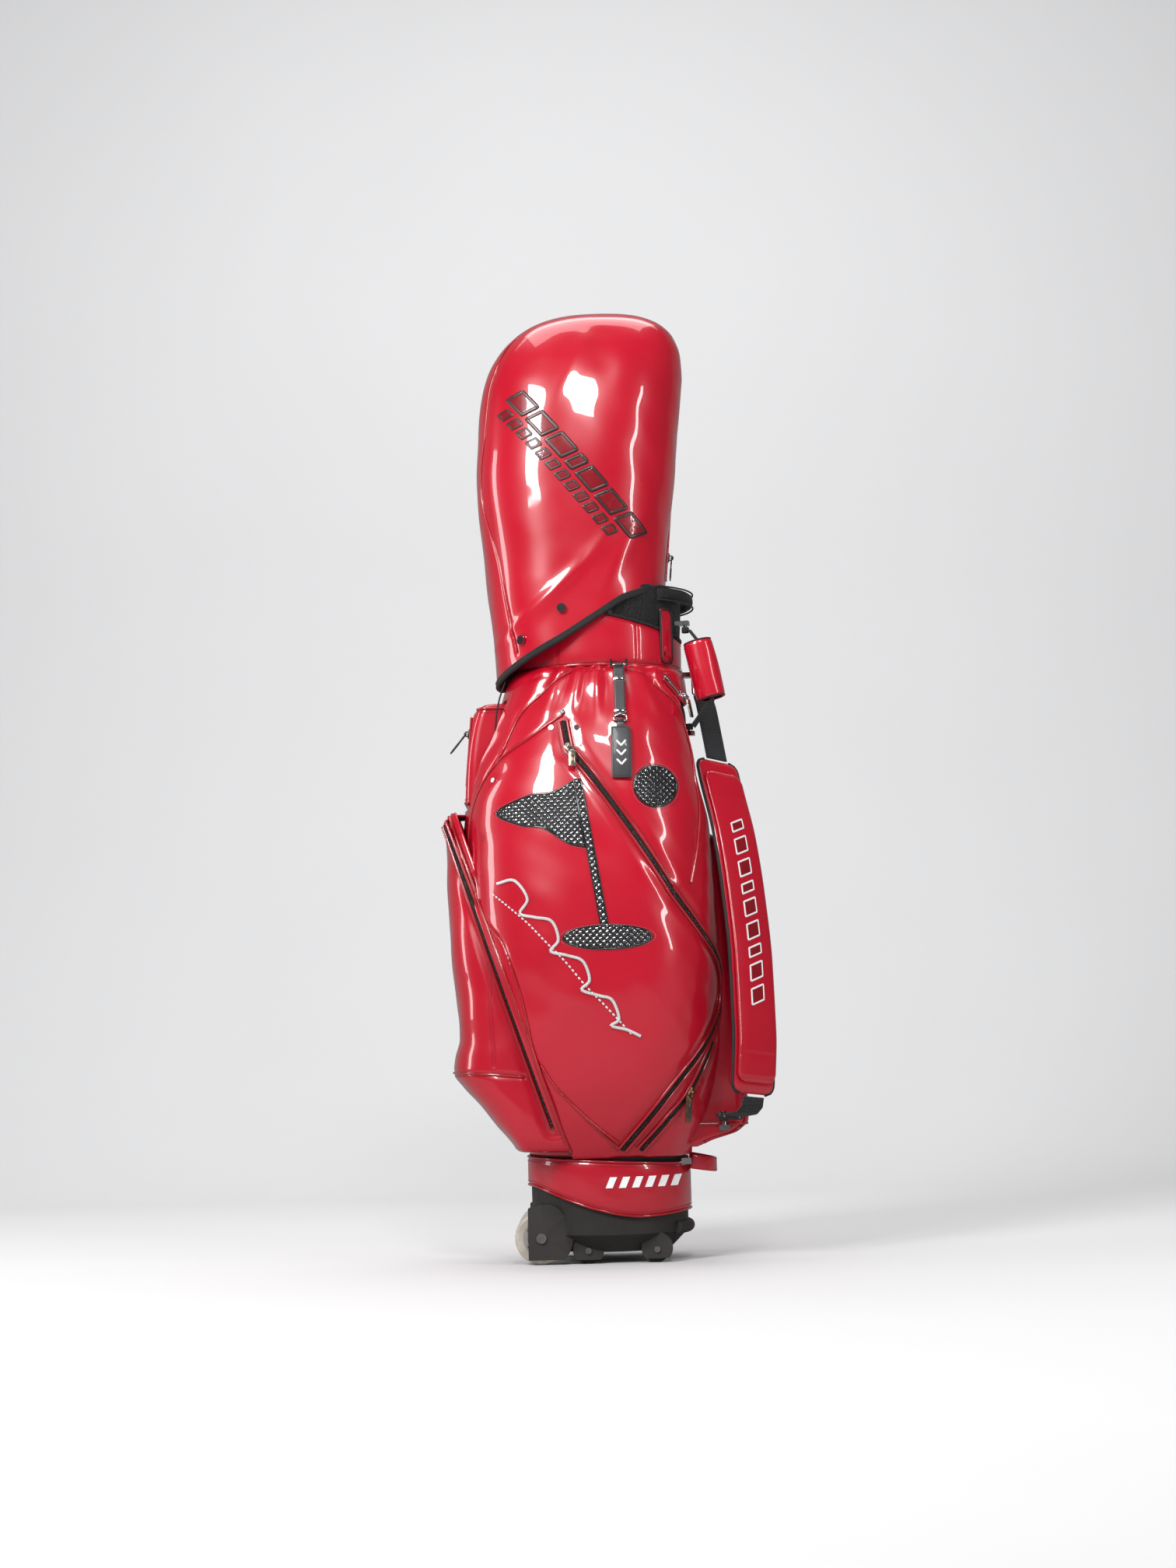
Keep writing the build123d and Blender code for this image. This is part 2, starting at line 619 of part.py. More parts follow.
# degrees about Z, height, and radius of the surface they stand on: collar pad or tab
for degrees, z, r in ((-81, 848, 114.5), (-38.5, 797, 117.4), (-33.5, 790, 117.4)):
    a = math.radians(degrees)
    rivets.append(cyl((r * math.cos(a), r * math.sin(a), z), (math.cos(a), math.sin(a), 0),
                      RIVET_R, RIVET_H))
save("rivets", *rivets)

# ---------------------------------------------------------------- rain hood
# Half-widths at each height: towards -X, towards +X, and in Y.
HOOD_Z = [755, 823, 890, 950, 1000, 1050, 1113, 1163, 1189, 1214, 1239, 1252, 1264, 1270]
hood_left = pchip(HOOD_Z, [134, 138, 146, 150, 153, 154, 150, 144, 137, 124, 102, 84, 56, 30])
hood_right = pchip(HOOD_Z, [100, 97, 95, 99, 104, 109, 114, 119, 121, 120, 112, 101, 80, 58])
hood_half = pchip(HOOD_Z, [124, 124, 124, 122, 121, 119, 115, 109, 103, 94, 80, 68, 47, 28])
HOOD_LEVELS = (755, 823, 890, 950, 1010, 1065, 1113, 1150, 1180, 1204, 1224, 1240, 1252,
               1261, 1267, 1270)
# lower edge of the hood as (x, z)
HEM = [(-170, 765), (-134, 765), (-100, 787), (25, 877), (40, 893), (170, 893)]


def hood_oval(z, inset=0.0):
    """Centre x, half-width in X and half-width in Y of the hood at z."""
    left, right = hood_left(z) - inset, hood_right(z) - inset
    return (right - left) / 2, (right + left) / 2, hood_half(z) - inset


def hood_form(inset):
    """The hood inset sideways, and lowered by as much where it closes above z 1000."""
    faces = []
    for z in HOOD_LEVELS:
        centre_x, half_x, half_y = hood_oval(z, inset)
        drop = inset * min(max((z - 1000) / 100, 0), 1)
        faces.append(Location((centre_x, 0, 0)) * superloop(z - drop, half_x, half_x, half_y))
    return loft(faces)


def below_hem(lift):
    return prism_xz([(-170, 700)] + [(x, z + lift) for x, z in HEM] + [(170, 700)], -170, 170)


def hood_y(x, z):
    centre_x, half_x, half_y = hood_oval(z)
    return half_y * (1 - (abs(x - centre_x) / half_x) ** OVAL_N) ** (1 / OVAL_N)


hood_shell = hood_form(0.0) - hood_form(HOOD_T)
save("hood", *big(hood_shell - below_hem(HOOD_TRIM + 0.4) - zip_channel(hood_zip, -33, 235)))
trim = (hood_shell - below_hem(0.0)) & below_hem(HOOD_TRIM)
save("hood_trim", *big(trim, 500.0))
save("hood_zip_track", zip_teeth(hood_zip, -32, 233))
save_slider("hood", hood_zip.location(), 24, 9)

snaps = []
for x, z in ((-98, 815), (-45, 853)):
    slope = hood_y(x + 0.5, z) - hood_y(x - 0.5, z)
    normal = Vector(-slope, 1.0, 0).normalized()
    for side in SIDES:
        outward = Vector(normal.X, normal.Y * side, 0)
        snaps.append(cyl(Vector(x, hood_y(x, z) * side, z) + outward * 2.2, outward, 6.0, 2.0))
save("hood_snaps", *snaps)

# ---------------------------------------------------------------- shoulder strap
strap = Run(STRAP_TOP, STRAP_LOW, (0.67, -0.74, 0))
# distance of the strap's centre curve out from the straight line, by length along it
strap_bow = pchip([0, 26, 40, 85, 146, 231, 308, 400, 490, 555, 575, strap.length],
                  [7, 7, 10.5, 19, 30, 50, 60, 66, 65, 58, 55, 50])
STRAP_STEPS = 22


def strap_piece(start, end, inner, outer, width):
    """A bowed strip along the strap, between two offsets from its centre curve."""
    # local y of this plane points against strap.out, hence the minus signs
    plane = Plane(origin=strap.start, x_dir=strap.axis, z_dir=strap.across * -1)
    outer_edge, inner_edge = [], []
    for i in range(STRAP_STEPS + 1):
        s = start + (end - start) * i / STRAP_STEPS
        slope = strap_bow(s + 0.5) - strap_bow(s - 0.5)
        nx, ny = -slope / math.hypot(1, slope), 1 / math.hypot(1, slope)
        outer_edge.append((s + nx * outer, -(strap_bow(s) + ny * outer)))
        inner_edge.append((s + nx * inner, -(strap_bow(s) + ny * inner)))
    outline = Wire([Spline(*outer_edge), Line(outer_edge[-1], inner_edge[-1]),
                    Spline(*inner_edge[::-1]), Line(inner_edge[0], outer_edge[0])])
    return extrude(plane * make_face(outline), amount=width / 2, both=True)


def strap_hub(start, bore_start, clamp):
    """Swivel hub on the strap line with a block that holds the webbing."""
    hub = strap.cyl(start, 6.5, 10.0)
    hub += strap.block(*clamp)
    return hub - strap.cyl(bore_start, STRAP_PIN_R + RUN, 70.0)


STRAP_END = strap.length
low_points = [strap.at(STRAP_END - 7.0, 16.4), strap.at(STRAP_END - 7.0, 42.0),
              strap.at(STRAP_END - 14.0, 52.0), strap.at(577.0, 55.0)]
first, *others = web_runs(low_points, strap.across, STRAP_WEB_W, STRAP_WEB_T, STRAP_WEB_T / 2)
low_run = first
for run in others:
    low_run = low_run + run
save("strap_webbing",
     strap_piece(26.8, 119.0, -STRAP_WEB_T / 2, STRAP_WEB_T / 2, STRAP_WEB_W), low_run)
save("strap_pad", strap_piece(120.0, 574.0, -6.0, 3.0, STRAP_PAD_W))
save("strap_sleeve", strap_piece(140.0, 560.0, 3.4, 8.0, 70.0))
# clamp blocks: place along, place out, length, width, thickness
save("strap_fittings", strap_hub(2.0, -28.0, (14.0, 6.9, 24.0, 42, 3.4)),
     strap_hub(STRAP_END - 12.0, STRAP_END - 40.0, (STRAP_END - 7.0, 10.0, 7, 42, 9.0)))

# ---------------------------------------------------------------- carry handle
carry = Run((119.0, -54.0, 836.0), (121.0, -52.0, 696.0), (1.0, -0.25, 0))
CARRY_END = carry.length
grip_top, grip_low = carry.at(20, 16), carry.at(100, 33)
grip_dir = (grip_low - grip_top).normalized()
grip_length = (grip_low - grip_top).length
grip = cyl(grip_top, grip_dir, 20.0, grip_length)
grip = fillet(grip.edges().filter_by(GeomType.CIRCLE), 4.0)
grip -= bar_along(grip_top - grip_dir * 5, grip_dir, carry.across, 27, 9, grip_length + 10)
save("carry_grip", grip)

web = carry.cyl(1.0, 5.0, 8.0)
web += carry.block(5.0, 4.0, 8, 12, 6)
web += carry.cyl(CARRY_END - 9.0, 5.0, 8.0)
web += carry.block(CARRY_END - 5.0, 4.0, 8, 12, 6)
web_points = [carry.at(5.0, 5.0), grip_top, grip_low,
              carry.at(CARRY_END - 14.0, 12.0), carry.at(CARRY_END - 5.0, 5.0)]
for run in web_runs(web_points, carry.across, 24, 2.6, 1.0):
    web += run
web -= carry.cyl(-20, CARRY_PIN_R + RUN, 26.0)
web -= carry.cyl(CARRY_END - 6.0, CARRY_PIN_R + RUN, 26.0)
# clear the webbing beside the two knuckles
web -= carry.cyl(8.95, 5.4, 6)
web -= carry.cyl(CARRY_END - 15.0, 5.4, 6.05)
save("carry_webbing", *big(web, 800.0))

# ---------------------------------------------------------------- fixed anchors on the body
TAG_TOP = Vector(28.0, -123.0, 776.0)      # centre of the bar that holds the bag tag
LOOP_X, LOOP_Z = 103.5, 128.0              # pivot line of the low grab loop


def x_cyl(centre, radius, length):
    """A cylinder along X, centred."""
    return cyl((centre.X - length / 2, centre.Y, centre.Z), (1, 0, 0), radius, length)


def strap_anchors():
    upper = (box(114.6, 143, 0, 16, 775.6, 782.0) + strap.cyl(-6, STRAP_PIN_R, 18.8)
             + strap.cyl(12.4, 4.4, 1.8))
    upper -= post(114.4, 770, 20)
    lower = (box(143, 157, -98, -74.3, 168.0, 175.0)
             + strap.cyl(STRAP_END - 12.8, STRAP_PIN_R, 18.0)
             + strap.cyl(STRAP_END - 14.2, 4.4, 1.8))
    return [upper, lower]


def carry_anchors():
    upper = carry.cyl(-7, CARRY_PIN_R, 12.4) + carry.block(-4.0, -4.0, 6, 12, 18)
    upper -= post(PAD_R1 + 0.3, 800, 60)
    lower = (carry.cyl(CARRY_END - 5.4, CARRY_PIN_R, 12.4)
             + carry.block(CARRY_END + 4.0, -4.0, 6, 12, 20))
    lower -= post(119.4, 600, 200)
    return [upper, lower]


def tag_anchor():
    y, z = TAG_TOP.Y, TAG_TOP.Z
    anchor = x_cyl(TAG_TOP, TAG_RING_R, 22)
    for x in (TAG_TOP.X - 10, TAG_TOP.X + 10):
        anchor += (box(x - 1.6, x + 1.6, y - 1.5, y + 2.0, z - 1.5, z + 8.0)
                   + box(x - 1.6, x + 1.6, y - 1.5, -108, z + 4.5, z + 8.0))
    return anchor - post(COLLAR_R1 + 0.3, 760, 40)


def loop_ear(side):
    y0, y1 = sorted((side * 49.0, side * 53.0))
    ear = (box(LOOP_X - 4, LOOP_X + 4, y0, y1, LOOP_Z - 4, LOOP_Z + 4)
           + cross_cyl(side, LOOP_X, 45.3, LOOP_Z, LOOP_PIN_R, 5.0))
    ear += box(LOOP_X - 14, LOOP_X + 2, y0, y1, LOOP_Z - 4, LOOP_Z + 4)
    return ear - post(108.3, 100, 60)


anchors = strap_anchors() + carry_anchors() + [tag_anchor()] + [loop_ear(s) for s in SIDES]
save("body_anchors", *[largest(anchor) for anchor in anchors])

# ---------------------------------------------------------------- bag tag
strap_dir = Vector(0, -24.0, -78.0).normalized()
tag_dir = Vector(0, -20.0, -75.0).normalized()
tag_pin = TAG_TOP + strap_dir * 80.0
x, y, z = tag_pin

# strap with a knuckle at the top and a fork with its pin at the bottom
tag_strap = x_cyl(TAG_TOP, 3.4, 12)
tag_strap += bar_along(TAG_TOP + strap_dir * 2.0, strap_dir, (1, 0, 0), 14, 2.2, 72)
tag_strap += (box(x - 9, x - 6.2, y - 1.4, y + 1.4, z - 2, z + 9)
              + box(x + 6.2, x + 9, y - 1.4, y + 1.4, z - 2, z + 9))
tag_strap += box(x - 9, x + 9, y, y + 4.6, z + 5.0, z + 9)
tag_strap += x_cyl(tag_pin, TAG_PIN_R, 16)
tag_strap -= x_cyl(TAG_TOP, TAG_RING_R + RUN, 40)
save("tag_strap", *big(tag_strap, 200.0))

# knuckle, neck and plate
bag_tag = x_cyl(tag_pin, 3.2, 10)
bag_tag += bar_along(tag_pin + tag_dir * 2.2, tag_dir, (1, 0, 0), 10, 2.6, 8)
bag_tag += bar_along(tag_pin + tag_dir * 8.0, tag_dir, (1, 0, 0), 25, 3.2, 71)
bag_tag -= x_cyl(tag_pin, TAG_PIN_R + RUN, 40)
save("bag_tag", *big(bag_tag, 200.0))

# ---------------------------------------------------------------- low grab loop, spine side
loop = hoop((97, 0, 118), 42.8, 46, 20)
loop &= box(104.5, 160, -60, 60, 100, 150)
for side in SIDES:
    loop += cross_cyl(side, LOOP_X, 43.0, LOOP_Z, 4.2, 5.2)
    loop -= cross_cyl(side, LOOP_X, 30.0, LOOP_Z, LOOP_PIN_R + RUN, 30)
loop = loop.rotate(Axis((LOOP_X, 0, LOOP_Z), (0, 1, 0)), 10)
save("grab_loop", *big(loop, 300.0))
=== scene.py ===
"""A glossy red golf bag with black mesh pads, rain hood, shoulder strap and carry handle.

The bag stands upright along +Z. Its front faces -Y (the camera), the two-sided ball pocket
is at -X and the strap and handles are at +X. Shapes are worked out in millimetres and
turned into metres when a mesh is made.
"""
import math

import bmesh
import bpy
import numpy as np
from mathutils import Matrix, Vector
from mathutils.kdtree import KDTree


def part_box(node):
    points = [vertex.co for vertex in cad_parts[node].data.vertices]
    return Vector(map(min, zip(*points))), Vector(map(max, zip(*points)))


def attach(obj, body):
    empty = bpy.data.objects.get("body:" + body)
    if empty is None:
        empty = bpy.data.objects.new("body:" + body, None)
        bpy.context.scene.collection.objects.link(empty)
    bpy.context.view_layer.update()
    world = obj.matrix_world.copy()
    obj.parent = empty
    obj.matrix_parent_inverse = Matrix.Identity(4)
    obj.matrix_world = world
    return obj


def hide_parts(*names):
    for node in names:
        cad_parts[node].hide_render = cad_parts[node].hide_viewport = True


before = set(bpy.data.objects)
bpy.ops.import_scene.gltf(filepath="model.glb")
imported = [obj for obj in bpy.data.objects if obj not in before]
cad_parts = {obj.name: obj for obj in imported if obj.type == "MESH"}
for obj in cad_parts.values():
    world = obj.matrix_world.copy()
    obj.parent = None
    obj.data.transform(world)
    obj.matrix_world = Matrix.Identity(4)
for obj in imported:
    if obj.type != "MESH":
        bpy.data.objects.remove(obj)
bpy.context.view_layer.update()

pi = math.pi
MM = 0.001
MIRROR_Y = np.array([1.0, -1.0, 1.0])
TURNED = [2, 0, 1]    # axis order that gives wave() a second, unrelated pattern
UP = np.array([0, 0, 1.0])


# ============================================================ curves and small maths
def monotone_curve(xs, ys):
    """Monotone cubic through the stations (xs, ys), held flat beyond its ends."""
    xs, ys = np.array(xs, float), np.array(ys, float)
    gaps = np.diff(xs)
    rises = np.diff(ys) / gaps
    slopes = np.zeros(len(xs))
    slopes[0], slopes[-1] = rises[0], rises[-1]
    for i in range(1, len(xs) - 1):
        if rises[i - 1] * rises[i] > 0:
            before, after = 2 * gaps[i] + gaps[i - 1], gaps[i] + 2 * gaps[i - 1]
            slopes[i] = (before + after) / (before / rises[i - 1] + after / rises[i])

    def curve(x):
        x = np.clip(np.asarray(x, float), xs[0], xs[-1])
        i = np.clip(np.searchsorted(xs, x, side="right") - 1, 0, len(xs) - 2)
        t = (x - xs[i]) / gaps[i]
        return (ys[i] * (2 * t ** 3 - 3 * t ** 2 + 1)
                + gaps[i] * slopes[i] * (t ** 3 - 2 * t ** 2 + t)
                + ys[i + 1] * (-2 * t ** 3 + 3 * t ** 2)
                + gaps[i] * slopes[i + 1] * (t ** 3 - t ** 2))
    return curve


def unit(vectors):
    vectors = np.asarray(vectors, float)
    return vectors / np.maximum(np.linalg.norm(vectors, axis=-1, keepdims=True), 1e-12)


def smooth_step(start, end, x):
    t = np.clip((np.asarray(x, float) - start) / (end - start), 0, 1)
    return t * t * (3 - 2 * t)


def signed_power(values, power):
    return np.sign(values) * np.abs(values) ** power


def moving_average(values, window):
    half = window // 2
    padded = np.r_[np.repeat(values[0], half), values, np.repeat(values[-1], half)]
    return np.convolve(padded, np.ones(window) / window, "valid")


def resample(points, count=None, step=None):
    """Even spacing along a polyline, by number of points or by step."""
    points = np.asarray(points, float)
    run = np.r_[0, np.cumsum(np.linalg.norm(np.diff(points, axis=0), axis=1))]
    if count is None:
        count = max(2, int(round(run[-1] / step)) + 1)
    stops = np.linspace(0, run[-1], count)
    return np.stack([np.interp(stops, run, points[:, k]) for k in range(points.shape[1])], 1)


def spline(control, step=1.5):
    """Catmull-Rom through the control points, evenly resampled."""
    control = np.asarray(control, float)
    control = np.vstack([2 * control[0] - control[1], control, 2 * control[-1] - control[-2]])
    t = np.linspace(0, 1, 24, endpoint=False)[:, None]
    out = []
    for i in range(1, len(control) - 2):
        before, start, end, after = control[i - 1:i + 3]
        out.append(0.5 * (2 * start + (end - before) * t
                          + (2 * before - 5 * start + 4 * end - after) * t ** 2
                          + (3 * start - before - 3 * end + after) * t ** 3))
    out.append(control[-2][None])
    return resample(np.vstack(out), step=step)


def wave(points, scale=1.0):
    """Soft, fixed undulation of stuffed leather, about -1..1."""
    x, y, z = (points[..., axis] * scale for axis in range(3))
    return (0.45 * np.sin(x / 23 + z / 41 + 0.7) + 0.35 * np.sin(z / 19 - x / 37 + y / 29 + 2.1)
            + 0.3 * np.sin((x + z) / 15 + y / 17 + 4.0) + 0.2 * np.sin((x - 2 * z) / 27 + 1.3))


def looped(points):
    return np.vstack([points, points[:1]])


def ring_angles(count):
    return np.linspace(0, 2 * pi, count, endpoint=False)


def radial(angles):
    return np.stack([np.cos(angles), np.sin(angles), np.zeros(len(angles))], 1)


def rounded_rectangle(x0, x1, y0, y1, radius, count):
    """Outline with `count` points round each corner."""
    corners = ((x1 - radius, y0 + radius, -pi / 2), (x1 - radius, y1 - radius, 0),
               (x0 + radius, y1 - radius, pi / 2), (x0 + radius, y0 + radius, pi))
    return np.array([(x + radius * math.cos(start + t), y + radius * math.sin(start + t))
                     for x, y, start in corners for t in np.linspace(0, pi / 2, count)])


def slanted_bar(start, width, slant, low, high):
    return [(start, low), (start + width, low),
            (start + width + slant, high), (start + slant, high)]


# ============================================================ meshes
def make_mesh(name, points, quads, caps, finishes, body, uv,
              material_index=None, smooth=True):
    """A mesh object from points and uv in mm, riding on `body`."""
    mesh = bpy.data.meshes.new(name)
    faces = quads.tolist() + [list(cap) for cap in caps]
    mesh.from_pydata((np.asarray(points, float) * MM).tolist(), [], faces)
    for finish in finishes:
        mesh.materials.append(finish)
    layer = mesh.uv_layers.new(name="UVMap")
    corners = np.zeros(len(mesh.loops), np.int32)
    mesh.loops.foreach_get("vertex_index", corners)
    layer.data.foreach_set("uv", (uv[corners] * MM).astype(np.float32).ravel())
    if material_index is not None:
        mesh.polygons.foreach_set("material_index", np.asarray(material_index, np.int32))
    mesh.polygons.foreach_set("use_smooth", np.full(len(mesh.polygons), smooth))
    mesh.validate()
    mesh.update()
    obj = bpy.data.objects.new(name, mesh)
    bpy.context.scene.collection.objects.link(obj)
    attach(obj, body)
    return obj


def grid_faces(rows, columns, closed=False, looped_rows=False):
    """Quads of a grid; closed joins last column to first, looped_rows last row to first."""
    j, i = np.meshgrid(np.arange(rows if looped_rows else rows - 1),
                       np.arange(columns if closed else columns - 1), indexing="ij")
    beside, above = (i + 1) % columns, (j + 1) % rows
    return np.stack([j * columns + i, j * columns + beside,
                     above * columns + beside, above * columns + i], -1).reshape(-1, 4)


def frames(path, normals, closed=False):
    """Tangents, square normals and sideways directions along a path."""
    if closed:
        tangents = unit(np.gradient(np.vstack([path[-1], path, path[0]]), axis=0)[1:-1])
    else:
        tangents = unit(np.gradient(path, axis=0))
    normals = unit(normals - tangents * (normals * tangents).sum(-1, keepdims=True))
    return tangents, normals, np.cross(tangents, normals)


def sweep(path, normals, section, closed=False, scale=None):
    """Carries section points (sideways, outwards) along the path: points, quads, caps, uv."""
    path, section = np.asarray(path, float), np.asarray(section, float)
    _, normals, across = frames(path, normals, closed)
    rows, columns = len(path), len(section)
    scale = np.ones(rows) if scale is None else np.asarray(scale, float)
    points = path[:, None] + (across[:, None] * section[None, :, :1]
                              + normals[:, None] * section[None, :, 1:]) * scale[:, None, None]
    last = (rows - 1) * columns
    caps = [] if closed else [list(range(columns))[::-1], list(range(last, last + columns))]
    run = np.r_[0, np.cumsum(np.linalg.norm(np.diff(path, axis=0), axis=1))]
    uv = np.stack([np.repeat(run, columns), np.tile(section[:, 0], rows)], 1)
    return points.reshape(-1, 3), grid_faces(rows, columns, True, closed), caps, uv


def circle(radius, count=10, squash=1.0):
    turn = ring_angles(count)
    return np.stack([radius * np.cos(turn), radius * squash * np.sin(turn)], 1)


def strip_section(width, thickness, crown=0.0, count=9):
    """Flat band with rounded edges; crown bulges its outer face."""
    x = np.linspace(-1, 1, count)
    reach, edge = width / 2 - thickness * 0.3, thickness * 0.2
    top = np.stack([x * reach, thickness / 2 + crown * (1 - x ** 4)], 1)
    bottom = np.stack([x[::-1] * reach, np.full(count, -thickness / 2)], 1)
    right = [[width / 2, edge], [width / 2, -edge]]
    left = [[-width / 2, -edge], [-width / 2, edge]]
    return np.vstack([top, right, bottom, left])


def rounded_plate(length, width, thickness, corner, bevel=0.35, taper=1.0):
    """Plate from x = 0 to length, centred on y and z; taper scales its far end."""
    outline = rounded_rectangle(0, length, -width / 2, width / 2, corner, 6)
    outline[:, 1] *= 1 + (taper - 1) * outline[:, 0] / length
    centre = outline.mean(0)
    reach = np.abs(outline - centre).max(0) + 1e-9
    layers = []
    for z, inset in ((-thickness / 2, bevel), (-thickness / 2 + bevel, 0),
                     (thickness / 2 - bevel, 0), (thickness / 2, bevel)):
        ring = centre + (outline - centre) * (1 - inset / reach)
        layers.append(np.column_stack([ring, np.full(len(ring), z)]))
    count = len(outline)
    caps = [list(range(count))[::-1], list(range(3 * count, 4 * count))]
    return np.vstack(layers), grid_faces(4, count, closed=True), caps


def to_world(points, local):
    """Points of a local frame (origin, x, y, z directions) in bag space."""
    origin, x_dir, y_dir, z_dir = local
    return origin + points[:, :1] * x_dir + points[:, 1:2] * y_dir + points[:, 2:] * z_dir


# One stitch: (place along its length, thickness, rise) of its rings, as shares.
STITCH_RINGS = [(-0.5, 0.25, -0.5), (-0.3, 1.0, 0.1), (0, 1.1, 0.4), (0.3, 1.0, 0.1),
                (0.5, 0.25, -0.5)]
STITCH_SIDES = 6
BOX_QUADS = np.array([[0, 1, 3, 2], [4, 6, 7, 5], [0, 4, 5, 1],
                      [2, 3, 7, 6], [0, 2, 6, 4], [1, 5, 7, 3]])


class Parts:
    """Collects several closed pieces into one mesh. Sizes in mm."""

    def __init__(self):
        self.points, self.quads, self.caps, self.uv = [], [], [], []
        self.count = 0
        self.quad_materials, self.cap_materials = [], []

    def add(self, points, quads, caps=(), uv=None, material=0, cap_material=None):
        """material is one slot number, or one for each quad."""
        points = np.asarray(points, float)
        quads = np.asarray(quads, int).reshape(-1, 4)
        self.points.append(points)
        self.quads.append(quads + self.count)
        self.caps += [[index + self.count for index in cap] for cap in caps]
        self.uv.append(np.zeros((len(points), 2)) if uv is None else uv)
        self.quad_materials += np.broadcast_to(material, len(quads)).tolist()
        self.cap_materials += [material if cap_material is None else cap_material] * len(caps)
        self.count += len(points)

    def add_local(self, local, shape, material=0, shift=(0, 0, 0), mirrored=False):
        """Adds a shape drawn in a local frame; mirrored flips it to the other side of y = 0."""
        points, quads, caps = shape[:3]
        points = to_world(points + np.array(shift, float), local)
        if mirrored:
            points = points * MIRROR_Y
            quads = quads[:, ::-1]
            caps = [cap[::-1] for cap in caps]
        self.add(points, quads, caps, material=material)

    def sweep(self, path, normals, section, material=0, closed=False, scale=None):
        self.add(*sweep(path, normals, section, closed, scale), material)

    def piping(self, path, normals, radius, material=0, closed=False):
        self.sweep(path, normals, circle(radius), material, closed)

    def stamp(self, centres, axes, shape, quads, caps, material):
        """Repeats a small shape at each centre, turned to the path's frame."""
        tangents, normals, across = axes
        points = (centres[:, None] + tangents[:, None] * shape[None, :, :1]
                  + across[:, None] * shape[None, :, 1:2] + normals[:, None] * shape[None, :, 2:])
        starts = np.arange(len(centres)) * len(shape)
        self.add(points.reshape(-1, 3), (quads[None] + starts[:, None, None]).reshape(-1, 4),
                 [[index + start for index in cap] for start in starts.tolist() for cap in caps],
                 material=material)

    def stitches(self, path, normals, lift, side=0.0, pitch=3.6, length=2.5, radius=0.34,
                 material=1, closed=False):
        """Running stitch: short raised threads along a curve."""
        both = np.hstack([path, np.broadcast_to(normals, np.shape(path))])
        both = resample(looped(both) if closed else both, step=pitch)
        path = both[:, :3]
        axes = frames(path, unit(both[:, 3:]))
        _, normals, across = axes
        shape = np.array([(place * length, thick * radius * math.cos(turn),
                           thick * radius * math.sin(turn) + rise * radius)
                          for place, thick, rise in STITCH_RINGS
                          for turn in ring_angles(STITCH_SIDES)])
        quads = grid_faces(len(STITCH_RINGS), STITCH_SIDES, closed=True)[:, ::-1]
        end = len(shape) - STITCH_SIDES
        caps = [list(range(STITCH_SIDES)), list(range(end, len(shape)))[::-1]]
        self.stamp(path + across * side + normals * lift, axes, shape, quads, caps, material)

    def teeth(self, path, normals, pitch=2.5, material=1):
        """Zip teeth, leaning to the left and right tape in turn."""
        both = resample(np.hstack([path, normals]), step=pitch / 2)
        path = both[:, :3]
        axes = frames(path, unit(both[:, 3:]))
        _, normals, across = axes
        box = np.array([[x, y, z] for x in (-0.45, 0.45) for y in (-1.5, 1.5)
                        for z in (-0.5, 0.5)])
        box[1::2] *= (0.6, 0.8, 1.0)
        sides = np.where(np.arange(len(path)) % 2 == 0, 1.0, -1.0)
        centres = path + across * (sides * 0.9)[:, None] + normals * 1.25
        self.stamp(centres, axes, box, BOX_QUADS, (), material)

    def build(self, name, finishes, body="bag", slot=None, smooth=True, replaces=None,
              recalculate=False):
        obj = make_mesh(name, np.vstack(self.points), np.vstack(self.quads), self.caps, finishes,
                        body, np.vstack(self.uv), self.quad_materials + self.cap_materials,
                        smooth)
        if recalculate:
            bm = bmesh.new()
            bm.from_mesh(obj.data)
            bmesh.ops.recalc_face_normals(bm, faces=bm.faces[:])
            bm.to_mesh(obj.data)
            bm.free()
        if replaces:
            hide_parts(replaces)
        return obj


